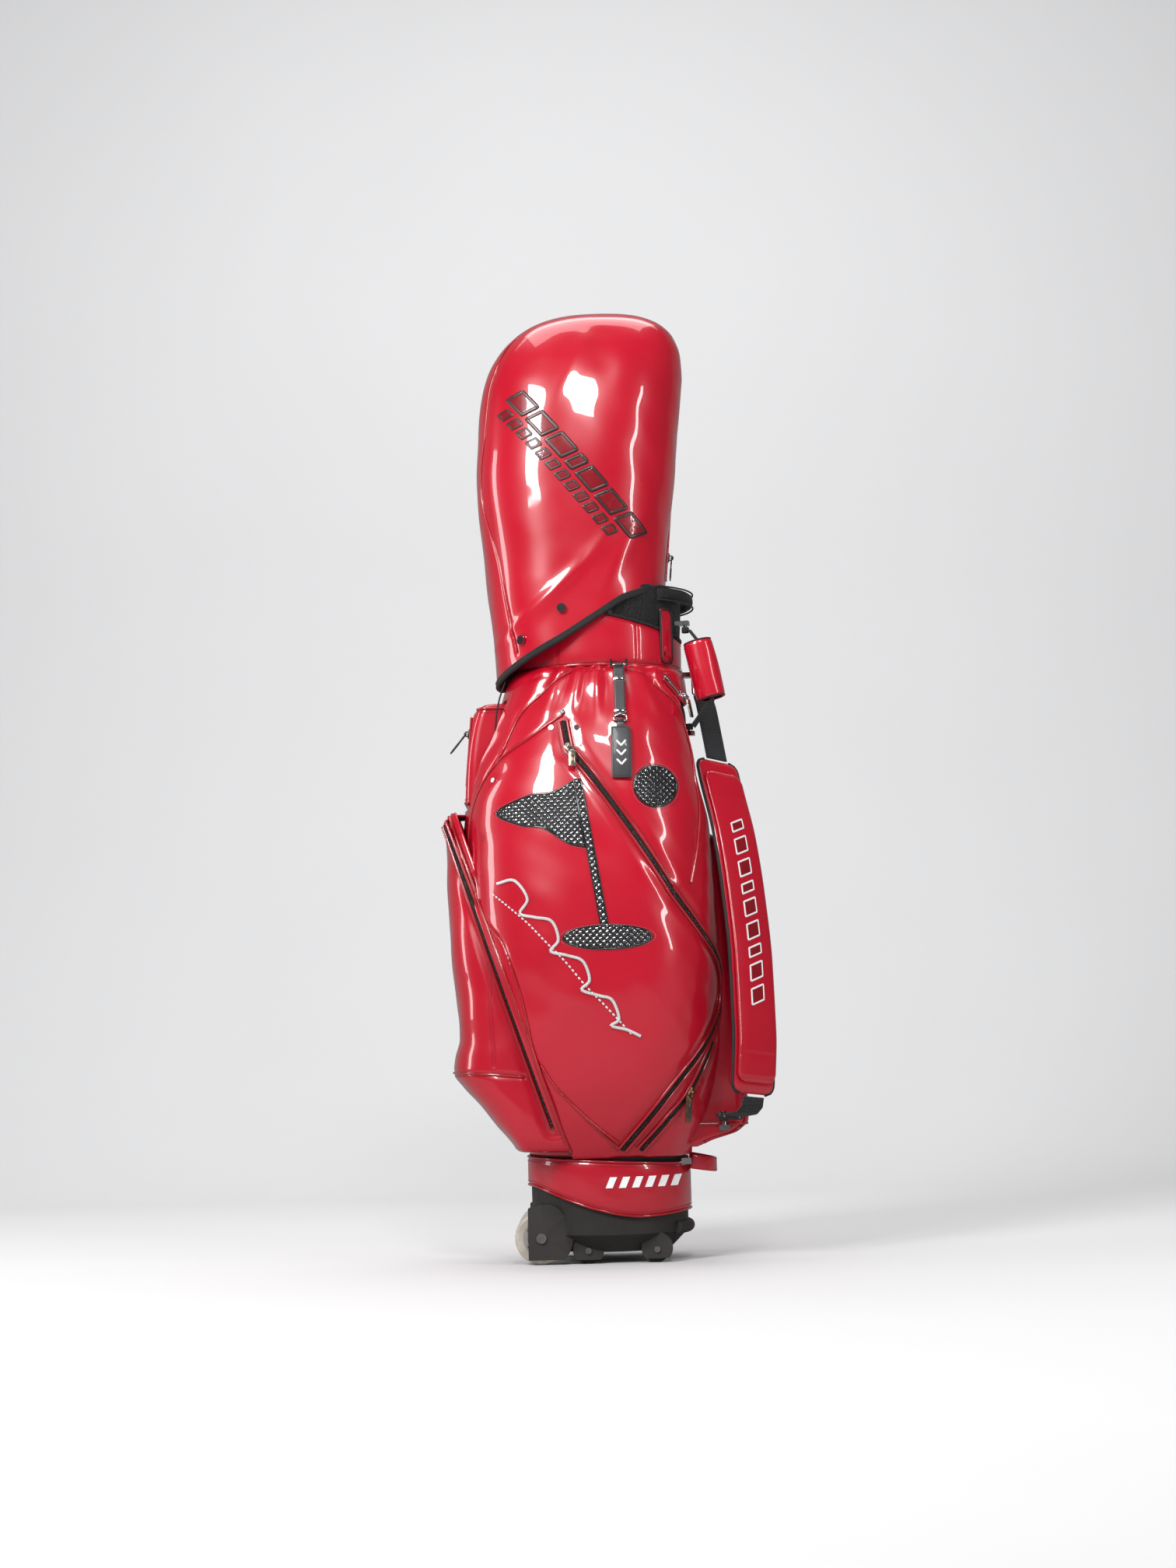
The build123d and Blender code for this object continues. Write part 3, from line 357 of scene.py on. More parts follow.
class Surface:
    """A grid of points, its outward normals and a height field `lift` over it."""

    def __init__(self, rows, closed=False):
        self.grid, self.closed = np.asarray(rows, float), closed
        if closed:
            wrapped = np.concatenate([self.grid[:, -1:], self.grid, self.grid[:, :1]], 1)
            along_rows = np.gradient(wrapped, axis=1)[:, 1:-1]
        else:
            along_rows = np.gradient(self.grid, axis=1)
        self.normals = unit(np.cross(along_rows, np.gradient(self.grid, axis=0)))
        self.lift = np.zeros(self.grid.shape[:2])
        self.tree = KDTree(self.lift.size)
        for k, point in enumerate(self.grid.reshape(-1, 3)):
            self.tree.insert(point, k)
        self.tree.balance()

    def feet(self, curve):
        """For each curve point: nearest grid index, its normal and the height above it."""
        near = np.array([self.tree.find(point)[1] for point in curve])
        normals = self.normals.reshape(-1, 3)[near]
        height = ((curve - self.grid.reshape(-1, 3)[near]) * normals).sum(-1)
        return near, normals, height

    def place(self, curve, above):
        """The curve dropped on the lifted surface, and the normals there."""
        near, normals, height = self.feet(curve)
        lift = self.lift.ravel()[near] + above
        return curve - normals * height[:, None] + normals * lift[:, None], normals

    def smooth_normals(self, curve, window=9):
        normals = self.feet(curve)[1]
        return unit(np.stack([moving_average(column, window) for column in normals.T], 1))

    def distance(self, curve, reach):
        """Distance of each grid point to the curve, and the index of the nearest sample."""
        tree = KDTree(len(curve))
        for k, point in enumerate(curve):
            tree.insert(point, k)
        tree.balance()
        flat = self.grid.reshape(-1, 3)
        low, high = curve.min(0) - reach, curve.max(0) + reach
        gap = np.full(len(flat), 1e3)
        nearest = np.zeros(len(flat), int)
        for k in np.nonzero(((flat > low) & (flat < high)).all(1))[0]:
            _, nearest[k], gap[k] = tree.find(flat[k])
        return gap.reshape(self.lift.shape), nearest.reshape(self.lift.shape)

    def groove(self, curve, depth, width, crown=0.0):
        """Sinks a seam; crown makes the leather beside it swell."""
        reach = 34.0
        gap, _ = self.distance(curve, reach + 4)
        self.lift -= depth * np.exp(-(gap / width) ** 2)
        if crown:
            self.lift -= crown * (1 - smooth_step(0, reach, gap))

    def follow(self, curve, depth, inner, outer):
        """Runs the surface under the curve at the given depth, blending out to `outer`."""
        height = moving_average(self.feet(curve)[2], 15)
        gap, nearest = self.distance(curve, outer + 14)
        height = height[nearest]
        sideways = np.sqrt(np.maximum(gap ** 2 - height ** 2, 0))
        keep = smooth_step(inner, outer, sideways)
        self.lift = np.where(gap < 900, (height - depth) * (1 - keep) + self.lift * keep,
                             self.lift)

    def shape(self):
        return self.grid + self.normals * self.lift[..., None]

    def build(self, name, skin, lining, thickness, body="bag", cuts=(), slot="patent_red",
              replaces=None):
        """cuts: regions to remove, each a list of planes (point in mm, normal)."""
        rows, columns = self.lift.shape
        across, up = np.zeros((rows, columns)), np.zeros((rows, columns))
        across[:, 1:] = np.cumsum(np.linalg.norm(np.diff(self.grid, axis=1), axis=-1), 1)
        up[1:] = np.cumsum(np.linalg.norm(np.diff(self.grid, axis=0), axis=-1), 0)
        obj = make_mesh(name, self.shape().reshape(-1, 3), grid_faces(rows, columns, self.closed),
                        [], [skin, lining], body, np.stack([across, up], -1).reshape(-1, 2))
        if cuts:
            cut_mesh(obj, cuts)
        solid = obj.modifiers.new("thickness", "SOLIDIFY")
        solid.thickness = thickness * 0.001
        solid.offset = -1.0
        solid.use_even_offset = False
        solid.material_offset = 1
        if replaces:
            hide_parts(replaces)


def cut_mesh(obj, cuts):
    bm = bmesh.new()
    bm.from_mesh(obj.data)
    for region in cuts:
        planes = [(Vector(point) * MM, Vector(normal)) for point, normal in region]
        for point, normal in planes:
            bmesh.ops.bisect_plane(bm, geom=bm.verts[:] + bm.edges[:] + bm.faces[:],
                                   plane_co=point, plane_no=normal, dist=1e-6)
        inside = [face for face in bm.faces
                  if all((face.calc_center_median() - point).dot(normal) < 0
                         for point, normal in planes)]
        bmesh.ops.delete(bm, geom=inside, context="FACES")
    bm.to_mesh(obj.data)
    bm.free()
    obj.data.polygons.foreach_set("use_smooth", np.full(len(obj.data.polygons), True))


# ============================================================ node materials
class Nodes:
    """Shorthand for adding and wiring the nodes of one tree."""

    def __init__(self, tree):
        self.tree = tree
        tree.nodes.clear()

    def plug(self, socket, value):
        """Links an output to the socket, or sets its value; colours gain an alpha of 1."""
        if hasattr(value, "is_output"):
            self.tree.links.new(value, socket)
        else:
            is_rgb = socket.type == "RGBA" and len(value) == 3
            socket.default_value = (*value, 1.0) if is_rgb else value

    def add(self, kind, inputs=None, **settings):
        made = self.tree.nodes.new("ShaderNode" + kind)
        for key, value in settings.items():
            setattr(made, key, value)
        for key, value in (inputs or {}).items():
            self.plug(made.inputs[key], value)
        return made

    def mix_shaders(self, fac, first, second):
        return self.add("MixShader", {0: fac, 1: first, 2: second}).outputs[0]

    def ray(self, kind):
        return self.add("LightPath").outputs[f"Is {kind} Ray"]


class Material(Nodes):
    """A material built round one Principled shader. Lengths in its tree are in metres."""

    def __init__(self, name):
        self.material = bpy.data.materials.new(name)
        self.material.use_nodes = True
        super().__init__(self.material.node_tree)
        self.output = self.add("OutputMaterial")
        self.shader = self.add("BsdfPrincipled")
        self.plug(self.output.inputs[0], self.shader.outputs[0])

    def coords(self, uv=False):
        return self.add("TexCoord").outputs["UV" if uv else "Object"]

    def noise(self, place, scale, detail, roughness=0.5):
        return self.add("TexNoise", {"Vector": place, "Scale": scale, "Detail": detail,
                                     "Roughness": roughness}).outputs["Fac"]

    def cells(self, place, scale):
        return self.add("TexVoronoi", {"Vector": place, "Scale": scale},
                        feature="DISTANCE_TO_EDGE").outputs["Distance"]

    def ramp(self, fac, start, end, low=0.0, high=1.0):
        """Grey ramp from `low` at `start` to `high` at `end`."""
        made = self.add("ValToRGB", {"Fac": fac})
        for element, place, level in zip(made.color_ramp.elements, (start, end), (low, high)):
            element.position = place
            element.color = (level, level, level, 1.0)
        return made.outputs["Color"]

    def mix(self, fac, first, second):
        return self.add("Mix", {0: fac, 6: first, 7: second}, data_type="RGBA").outputs[2]

    def math(self, operation, first, second):
        return self.add("Math", {0: first, 1: second}, operation=operation).outputs[0]

    def tint(self, base, mask, amount, colour):
        """Base colour turned towards `colour` where the mask is bright."""
        return self.mix(self.math("MULTIPLY", mask, amount), base, colour)

    def bump(self, height, strength, distance, normal=None):
        inputs = {"Height": height, "Strength": strength, "Distance": distance}
        if normal is not None:
            inputs["Normal"] = normal
        return self.add("Bump", inputs).outputs["Normal"]

    def edge_wear(self):
        return self.ramp(self.add("NewGeometry").outputs["Pointiness"], start=0.52, end=0.62)

    def finish(self, inputs):
        """Sets the shader's inputs and returns the material."""
        for key, value in inputs.items():
            self.plug(self.shader.inputs[key], value)
        return self.material


def scaled(colour, factor, extra=0.0):
    return tuple(min(1, channel * factor + extra) for channel in colour)


def patent(name, colour, dark, coat_rough=0.035, ripple=0.0011, rough=0.30):
    """Glossy coated leather: fine grain under a clear, slightly wavy coat."""
    mat = Material(name)
    place = mat.coords()
    patches = mat.ramp(mat.noise(place, scale=5.0, detail=2), start=0.2, end=0.85)
    base = mat.mix(patches, colour, dark)
    # Painted shade: every patent finish is darkened towards the bottom of the bag, fully below
    # 0.10 m and fading out by 0.62 m.
    height = mat.add("SeparateXYZ", {0: place}).outputs[2]
    low = mat.ramp(height, start=0.10, end=0.62, low=1.0, high=0.0)
    base = mat.tint(base, low, amount=0.34, colour=scaled(dark, 0.55))
    base = mat.tint(base, mat.edge_wear(), amount=0.16, colour=scaled(colour, 1.5, 0.03))
    ripples = mat.bump(mat.noise(place, scale=19.0, detail=1.0, roughness=0.35),
                       strength=0.5, distance=ripple)
    # Stands only if the link made below is cut.
    mat.shader.inputs["Coat Roughness"].default_value = coat_rough
    return mat.finish({
        "Base Color": base,
        "Roughness": mat.ramp(mat.noise(place, scale=18.0, detail=2), start=0.3, end=0.75,
                              low=rough - 0.03, high=rough + 0.05),
        "Normal": mat.bump(mat.cells(place, scale=950.0), strength=0.16, distance=0.00012,
                           normal=ripples),
        "Coat Weight": 1.0,
        "Coat IOR": 1.55,
        "Coat Roughness": mat.ramp(mat.noise(place, scale=16.0, detail=2), start=0.3, end=0.85,
                                   low=coat_rough, high=coat_rough + 0.02),
        "Coat Normal": ripples,
    })


def spacer_mesh(name, colour, painted_glint):
    """Padded mesh cloth: a near-regular field of small holes, with stray glints painted into its
    colour as pale specks.
    """
    mat = Material(name)
    place = mat.coords()
    cells = mat.add("TexVoronoi", {"Vector": place, "Scale": 360.0, "Randomness": 0.35},
                    feature="F1").outputs["Distance"]
    holes = mat.ramp(cells, start=0.22, end=0.5)
    # Painted glints: pale specks mixed into the base colour.
    glint_specks = mat.ramp(mat.noise(place, scale=900.0, detail=2), start=0.60, end=0.72)
    base = mat.mix(holes, scaled(colour, 0.35), colour)
    return mat.finish({
        "Base Color": mat.tint(base, glint_specks, amount=0.55, colour=painted_glint),
        "Roughness": 0.72,
        "Sheen Weight": 0.06,
        "Sheen Roughness": 0.4,
        "Normal": mat.bump(holes, strength=0.9, distance=0.0006),
    })


def woven(name, colour, bright, period=0.0016, uv=True, rough=0.78, diagonal=True):
    """Yarns crossing over and under, with loose-fibre variation. period: yarn spacing in m."""
    mat = Material(name)
    place = mat.coords(uv)
    scale = 0.31416 / period
    warp = mat.add("TexWave", {"Vector": place, "Scale": scale, "Distortion": 0.25, "Detail": 1.0},
                   bands_direction="DIAGONAL" if diagonal else "X").outputs["Fac"]
    weft = mat.add("TexWave", {"Vector": place, "Scale": scale * (0.55 if diagonal else 1.0),
                               "Distortion": 0.25}, bands_direction="Y").outputs["Fac"]
    height = mat.math("MULTIPLY", warp, weft)
    fibres = mat.noise(mat.coords(), scale=45.0, detail=4)
    base = mat.mix(height, colour, bright)
    return mat.finish({
        "Base Color": mat.tint(base, fibres, amount=0.3, colour=scaled(colour, 0.5)),
        "Roughness": mat.ramp(fibres, start=0.3, end=0.8, low=rough - 0.08, high=rough + 0.1),
        "Sheen Weight": 0.05,
        "Normal": mat.bump(height, strength=0.8, distance=period * 0.25),
    })


def moulded(name, colour, bright, rough=0.52, texture=0.35):
    """Plastic, foam or rubber with a fine pebbled surface and paler edges."""
    mat = Material(name)
    place = mat.coords()
    patches = mat.noise(place, scale=9.0, detail=5)
    pebbles = mat.noise(place, scale=1300.0, detail=2)
    base = mat.mix(mat.ramp(patches, start=0.3, end=0.8), colour, bright)
    base = mat.tint(base, mat.ramp(pebbles, start=0.5, end=0.75), amount=0.22,
                    colour=scaled(bright, 2.0))
    base = mat.tint(base, mat.edge_wear(), amount=0.35, colour=scaled(bright, 2.0, 0.01))
    fine = mat.bump(pebbles, strength=texture, distance=0.00025)
    return mat.finish({
        "Base Color": base,
        "Roughness": mat.ramp(patches, start=0.2, end=0.8, low=rough - 0.08, high=rough + 0.12),
        "Normal": mat.bump(mat.noise(place, scale=240.0, detail=3), strength=texture * 0.5,
                           distance=0.0004, normal=fine),
    })


def metal(name, colour, rough, scratch=0.25, dark=0.5):
    """Metal with scratches drawn out across Z and cloudy smudges."""
    mat = Material(name)
    place = mat.coords()
    stretched = mat.add("Mapping", {"Vector": place, "Scale": (40.0, 40.0, 900.0)}).outputs[0]
    scratches = mat.noise(stretched, scale=4.0, detail=4)
    smudges = mat.noise(place, scale=70.0, detail=4)
    both = mat.math("ADD", mat.math("MULTIPLY", scratches, 0.5),
                    mat.math("MULTIPLY", smudges, 0.5))
    return mat.finish({
        "Base Color": mat.mix(mat.ramp(smudges, start=0.35, end=0.8), colour,
                              scaled(colour, dark)),
        "Metallic": 1.0,
        "Roughness": mat.ramp(both, start=0.3, end=0.75, low=rough * 0.6, high=rough * 1.7),
        "Normal": mat.bump(scratches, strength=scratch, distance=0.00008),
    })


def leather(name, colour, bright, rough=0.45):
    """Plain grained leather with pale worn edges."""
    mat = Material(name)
    place = mat.coords()
    grain = mat.cells(place, scale=620.0)
    patches = mat.noise(place, scale=30.0, detail=5)
    base = mat.mix(patches, colour, bright)
    return mat.finish({
        "Base Color": mat.tint(base, mat.edge_wear(), amount=0.5,
                               colour=scaled(bright, 2.5, 0.02)),
        "Roughness": mat.ramp(patches, start=0.3, end=0.8, low=rough - 0.1, high=rough + 0.15),
        "Coat Weight": 0.15,
        "Normal": mat.bump(grain, strength=0.6, distance=0.0003),
    })


def urethane(name):
    """Yellowed, slightly see-through wheel tyre."""
    mat = Material(name)
    place = mat.coords()
    patches = mat.noise(place, scale=55.0, detail=6)
    return mat.finish({
        "Base Color": mat.mix(mat.ramp(patches, start=0.35, end=0.8),
                              (0.66, 0.61, 0.52), (0.42, 0.38, 0.32)),
        "Subsurface Weight": 0.35,
        "Subsurface Scale": 0.006,
        "Transmission Weight": 0.22,
        "Roughness": mat.ramp(patches, start=0.3, end=0.8, low=0.22, high=0.5),
        "Normal": mat.bump(mat.noise(place, scale=600.0, detail=3), strength=0.3,
                           distance=0.0002),
    })


# Each finish: name, main colour, second colour (linear RGB), then what differs.
RED = patent("mat_patent_red", (0.57, 0.0016, 0.021), (0.43, 0.0011, 0.014))
RED_FLAT = patent("mat_patent_trim", (0.42, 0.002, 0.011), (0.33, 0.0015, 0.008),
                  coat_rough=0.06, ripple=0.0003)
EMBOSS_RED = patent("mat_emboss_red", (0.30, 0.0012, 0.010), (0.20, 0.0008, 0.006))
PRINT_WHITE = moulded("mat_print_white", (0.70, 0.70, 0.70), (0.80, 0.80, 0.80),
                      rough=0.35, texture=0.1)
MAROON = patent("mat_emboss_line", (0.050, 0.002, 0.004), (0.03, 0.001, 0.003),
                coat_rough=0.3, ripple=0.0002, rough=0.5)
BLACK_PATENT = patent("mat_studded_black", (0.012, 0.012, 0.014), (0.006, 0.006, 0.008),
                      coat_rough=0.05, ripple=0.0002, rough=0.25)
# The pale specks of this mesh are painted glints.
MESH_BLACK = spacer_mesh("mat_spacer_mesh", colour=(0.0075, 0.0075, 0.008),
                         painted_glint=(0.11, 0.11, 0.12))
LINING = woven("mat_lining", (0.012, 0.010, 0.011), (0.035, 0.03, 0.032),
               period=0.0011, uv=False)
LINING_RED = woven("mat_lining_red", (0.16, 0.004, 0.012), (0.26, 0.01, 0.02),
                   period=0.0012, uv=False)
WEBBING = woven("mat_webbing", (0.010, 0.010, 0.012), (0.045, 0.045, 0.05), period=0.0023)
TAPE = woven("mat_zip_tape", (0.012, 0.007, 0.008), (0.04, 0.022, 0.024),
             period=0.0009, diagonal=False)
BINDING = woven("mat_binding", (0.010, 0.008, 0.009), (0.05, 0.038, 0.04), period=0.0013)
DIVIDER = woven("mat_divider", (0.016, 0.016, 0.018), (0.05, 0.05, 0.055),
                period=0.0015, uv=False)
PLASTIC = moulded("mat_base_plastic", (0.015, 0.013, 0.012), (0.025, 0.022, 0.020))
PLASTIC_DARK = moulded("mat_frame_plastic", (0.014, 0.014, 0.015), (0.024, 0.024, 0.026),
                       rough=0.45)
EVA = moulded("mat_eva", (0.020, 0.020, 0.021), (0.034, 0.034, 0.036), rough=0.85, texture=0.8)
TUBE = moulded("mat_liner_tube", (0.022, 0.022, 0.024), (0.034, 0.034, 0.036), rough=0.5)
HUB = moulded("mat_wheel_hub", (0.16, 0.15, 0.135), (0.25, 0.235, 0.215), rough=0.42)
RUBBER = moulded("mat_roller_rubber", (0.014, 0.013, 0.013), (0.032, 0.030, 0.028),
                 rough=0.7, texture=0.7)
STAY = moulded("mat_stay_fibre", (0.30, 0.28, 0.20), (0.42, 0.40, 0.32), rough=0.35)
TYRE = urethane("mat_wheel_tyre")
CHROME = metal("mat_chrome", (0.78, 0.78, 0.80), rough=0.12)
STEEL = metal("mat_steel", (0.55, 0.55, 0.56), rough=0.25)
SATIN = metal("mat_pull_metal", (0.66, 0.60, 0.50), rough=0.26)
BRONZE = metal("mat_bronze", (0.34, 0.22, 0.13), rough=0.3)
GUN = metal("mat_zip_metal", (0.20, 0.18, 0.18), rough=0.28)
STUD = metal("mat_stud", (0.36, 0.365, 0.38), rough=0.17)
STUD_BED = moulded("mat_stud_bed", (0.006, 0.006, 0.007), (0.012, 0.012, 0.013),
                   rough=0.5, texture=0.2)
TAG_LEATHER = leather("mat_tag_leather", (0.022, 0.022, 0.024), (0.045, 0.045, 0.05))
PULL_LEATHER = leather("mat_pull_leather", (0.012, 0.012, 0.013), (0.03, 0.03, 0.032))


def thread(name, colour, bright, rough):
    return woven(name, colour, bright, period=0.0006, uv=False, rough=rough)


THREAD_RED = thread("mat_thread_red", (0.28, 0.005, 0.015), (0.45, 0.01, 0.03), rough=0.6)
THREAD_BLACK = thread("mat_thread_black", (0.012, 0.012, 0.013), (0.05, 0.05, 0.055), rough=0.6)
THREAD_WHITE = thread("mat_thread_white", (0.72, 0.70, 0.70), (0.92, 0.90, 0.90), rough=0.55)
THREAD_PINK = thread("mat_thread_pink", (0.50, 0.13, 0.17), (0.68, 0.25, 0.29), rough=0.55)
# A spare finish, on no piece yet.
metal("mat_silver_print", (0.80, 0.80, 0.82), rough=0.34, scratch=0.1, dark=0.8)


def zip_line(name, surface, path, window, teeth_finish=GUN, body="bag", replaces=None):
    """Tape, teeth and the two piped leather lips of one zip lying on a surface."""
    normals = surface.smooth_normals(path, window)
    parts = Parts()
    parts.sweep(path - normals * 0.4, normals, strip_section(10.6, 0.9))
    parts.teeth(path, normals)
    _, square, across = frames(path, normals)
    for side in (-1, 1):
        parts.piping(path + across * side * 5.2 + square * 0.3, square, 2.0, 2)
        parts.stitches(path + across * side * 9.4, square, lift=0.6, material=3)
    parts.build(name, [TAPE, teeth_finish, RED_FLAT, THREAD_RED], body, "zip_black",
                replaces=replaces)


# ============================================================ driving forms
# Body half-sizes at heights z: reach to -X, reach to +X, half depth in Y.
BODY_LOW, BODY_HIGH = 140, 775
BODY_Z = [BODY_LOW, 150, 187, 238, 300, 384, 457, 560, 600, 650, 700, 740, BODY_HIGH]
body_left = monotone_curve(
    BODY_Z, [112, 120, 146, 168, 178, 183, 184, 183, 180, 168, 145, 130, 117])
body_right = monotone_curve(
    BODY_Z, [112, 118, 138, 150, 157, 160, 157, 150, 144, 134, 126, 121, 116])
body_half = monotone_curve(
    BODY_Z, [112, 120, 142, 162, 174, 180, 180, 173, 167, 157, 143, 129, 117])
SQUARENESS = 2.4    # superellipse exponent of the body and hood sections


def body_y(x, z):
    """Y of the body's front face."""
    x, z = np.asarray(x, float), np.asarray(z, float)
    reach = np.where(x >= 0, body_right(z), body_left(z))
    share = np.maximum(1 - (np.abs(x) / reach) ** SQUARENESS, 0)
    return -body_half(z) * share ** (1 / SQUARENESS)


def front_point(x, z):
    return np.array([x, float(body_y(x, z)), z])


def on_front(outline):
    outline = np.asarray(outline, float)
    x, z = outline[:, 0], outline[:, 1]
    return np.stack([x, body_y(x, z), z], 1)


def ball_plane_x(z):
    """X where the ball pocket meets the body; it slopes outwards with height."""
    return -49.6 - 0.34 * (z - 141.0)


class Arc:
    """A circular arc of a zip, by its circle, first point and which way it runs."""

    def __init__(self, centre, axis, radius, start, end):
        self.centre, self.axis, self.radius = np.array(centre, float), unit(axis), radius
        towards = np.array(start, float) - self.centre
        self.out = unit(towards - self.axis * (towards @ self.axis))
        turn = np.cross(self.out, np.array(end) - self.centre) @ self.axis
        self.sign = 1 if turn > 0 else -1

    def line(self, first, last, step=1.5):
        """Points from angle `first` to `last`, in degrees past the start."""
        count = max(2, int(abs(last - first) / 180 * pi * self.radius / step))
        turn = np.radians(np.linspace(first, last, count))[..., None] * self.sign
        out = self.out * np.cos(turn) + np.cross(self.axis, self.out) * np.sin(turn)
        return self.centre + out * self.radius

    def local_frame(self):
        return (self.centre + self.out * self.radius, np.cross(self.axis, self.out),
                self.axis, self.out)


FRONT_ARC = Arc((-37.28, 244.87, 510.05), (-0.81213, -0.20782, -0.54521), 424.52,
                start=(-40.0, -151.0, 665.0), end=(90.0, -157.9, 474.0))
LOWER_ARC = Arc((28.85, 43.75, 241.82), (-0.74394, -0.41748, 0.52179), 183.09,
                start=(104.5, -118.5, 219.0), end=(140.0, -94.1, 290.0))
BALL_CIRCLE = ((-85.43, 1298.03, 219.9), (-0.94677, 0.0, -0.3219), 1418.09)
BALL_TOP, BALL_FOOT = (-173.2, -92.9, 478.0), (-75.3, -120.5, 190.0)
BALL_ARC = Arc(*BALL_CIRCLE, start=BALL_TOP, end=BALL_FOOT)
BALL_FOOT_ARC = Arc(*BALL_CIRCLE, start=BALL_FOOT, end=BALL_TOP)

# ============================================================ body: front and back pockets
# Seams on the front face, as (x, z).
SEAMS = {
    "panel_left": [(-47, 710), (-92, 682), (-138, 652), (-161, 617), (-171, 585), (-176, 546),
                   (-167, 504), (-157, 451), (-131, 413), (-109, 344), (-91, 263), (-73, 211),
                   (-49, 145)],
    "upper_right": [(74, 753), (113, 704), (127, 616), (115, 487)],
    "upper_left": [(-34, 772), (-72, 744), (-104, 712), (-126, 672), (-138, 652)],
    "vee_a": [(-85, 257), (-60, 220), (12, 156)],
    "vee_b": [(-60, 220), (-23, 182), (14, 147)],
    "arch": [(-81, 764), (-10, 774), (16, 774), (64, 764)],
}
FRONT_ZIP = np.vstack([
    on_front([(-46, 702), (-44, 688)]), FRONT_ARC.line(0, 31.59, step=9),
    on_front([(126, 425), (147, 391), (152, 354), (146, 316), (124, 275), (88, 230), (52, 187),
              (16, 146)])])
LOWER_ZIP = np.vstack([on_front([(40, 146), (72, 180)]), LOWER_ARC.line(-3, 24, step=9)])
SMALL_ZIP_START, SMALL_ZIP_END = front_point(110.0, 740.0), front_point(90.0, 762.0)
# Pleats fanning down from the collar: x at the top, slope, width, height.
PLEATS = [(-72, -0.55, 9, 2.3), (-47, -0.36, 8, 2.8), (-24, -0.2, 7, 2.4), (-2, -0.02, 8, 2.7),
          (21, 0.14, 7, 2.3), (50, 0.42, 9, 2.0), (78, 0.62, 9, 1.6)]
# Openings in the body under the side pockets, each bounded by planes (point, normal).
BALL_OPENING = [((-49.6 + 1.0, 0, 141.0), unit((1.0, 0, 0.34)).tolist()),
                ((0, 0, 596.0), (0, 0, 1.0))]
SIDE_OPENING = [((109, 0, 0), (-1, 0, 0)), ((0, 77, 0), (0, 1, 0)), ((0, -77, 0), (0, -1, 0)),
                ((0, 0, 741), (0, 0, 1))]
VALUABLES_OPENING = [((-110, 0, 0), (1, 0, 0)), ((0, 64, 0), (0, 1, 0)),
                     ((0, -64, 0), (0, -1, 0)), ((0, 0, 742), (0, 0, 1)),
                     ((0, 0, 597), (0, 0, -1))]


def body_row(z, side, count, inset):
    """Half a level section; side -1 is the front half, 1 the back half."""
    clamped = np.clip(z, BODY_LOW, BODY_HIGH)
    turn = np.linspace(pi, 2 * pi, 900) if side < 0 else np.linspace(0, pi, 900)
    cos, sin = np.cos(turn), np.sin(turn)
    reach = np.where(cos > 0, body_right(clamped), body_left(clamped)) - inset
    row = np.stack([reach * signed_power(cos, 2 / SQUARENESS),
                    (body_half(clamped) - inset) * signed_power(sin, 2 / SQUARENESS),
                    np.full(len(turn), z)], 1)
    return resample(row, count)


def body_surface(side, step):
    stations = ([(136.5, 7.0), (138.0, 3.0)]
                + [(z, 0.0) for z in np.arange(BODY_LOW, BODY_HIGH + 0.1, step)]
                + [(777.0, 1.5), (779.0, 4.0)])
    return Surface([body_row(z, side, int(420 / step), inset) for z, inset in stations])


def add_pleats(surface):
    x, z = surface.grid[..., 0], surface.grid[..., 2]
    fall = smooth_step(676, 768, z)
    for top_x, slope, width, height in PLEATS:
        centre = top_x + slope * (BODY_HIGH - z)
        ridge = np.exp(-((x - centre) / width) ** 2)
        valley = np.exp(-((x - centre - 1.6 * width) / (width * 0.7)) ** 2)
        surface.lift += height * fall * (ridge - 0.5 * valley)
    surface.lift -= 1.6 * smooth_step(768, 777, z)


curves = {key: spline(on_front(outline)) for key, outline in SEAMS.items()}
front_zip, lower_zip = spline(FRONT_ZIP), spline(LOWER_ZIP)
front = body_surface(-1, 2.2)
back = body_surface(1, 3.0)
for shell, flip in ((front, np.ones(3)), (back, MIRROR_Y)):
    shell.lift += 1.3 + 0.75 * wave(shell.grid) + 0.45 * wave(shell.grid[..., TURNED], 1.9)
    add_pleats(shell)
    for key in ("panel_left", "upper_left", "upper_right", "arch"):
        shell.groove(curves[key] * flip, depth=1.5, width=3.0, crown=1.0)
    if shell is front:
        shell.groove(curves["vee_a"], depth=1.4, width=3.0, crown=0.8)
        shell.groove(curves["vee_b"], depth=1.4, width=3.0)
    shell.follow(front_zip * flip, depth=0.9, inner=7.0, outer=22.0)
    if shell is front:
        shell.follow(lower_zip, depth=1.1, inner=8.0, outer=22.0)
direction = unit(SMALL_ZIP_END - SMALL_ZIP_START)
small_zip = resample(np.vstack([SMALL_ZIP_START - direction * 10, SMALL_ZIP_END + direction * 4]),
                     step=1.5)
front.follow(small_zip, depth=1.1, inner=7.0, outer=14.0)
for shell, tag in ((front, "front"), (back, "back")):
    shell.build(f"{tag}_pocket_leather", RED, LINING_RED, 2.6,
                cuts=[BALL_OPENING, SIDE_OPENING, VALUABLES_OPENING], replaces=f"{tag}_pocket")

trim = Parts()
for shell, flip, keys in (
        (front, np.ones(3), ("panel_left", "upper_left", "upper_right", "vee_a", "vee_b")),
        (back, MIRROR_Y, ("panel_left", "upper_left", "upper_right"))):
    for key in keys:
        path = shell.place(curves[key] * flip, 0.9)[0]
        normals = shell.smooth_normals(curves[key] * flip)
        trim.piping(path, normals, 1.8)
        trim.stitches(path, normals, lift=-0.6, side=4.2)
    trim.stitches(*shell.place(curves["arch"] * flip, 0.2), lift=0.2)
trim.build("body_piping", [RED_FLAT, THREAD_RED], slot="patent_red")

zip_line("front_zip_line", front, front_zip, 21, replaces="zip_tracks")
zip_line("back_zip_line", back, front_zip * MIRROR_Y, 21)
zip_line("lower_zip_line", front, lower_zip, 15)
zip_line("small_zip_line", front, small_zip, 9, teeth_finish=CHROME)

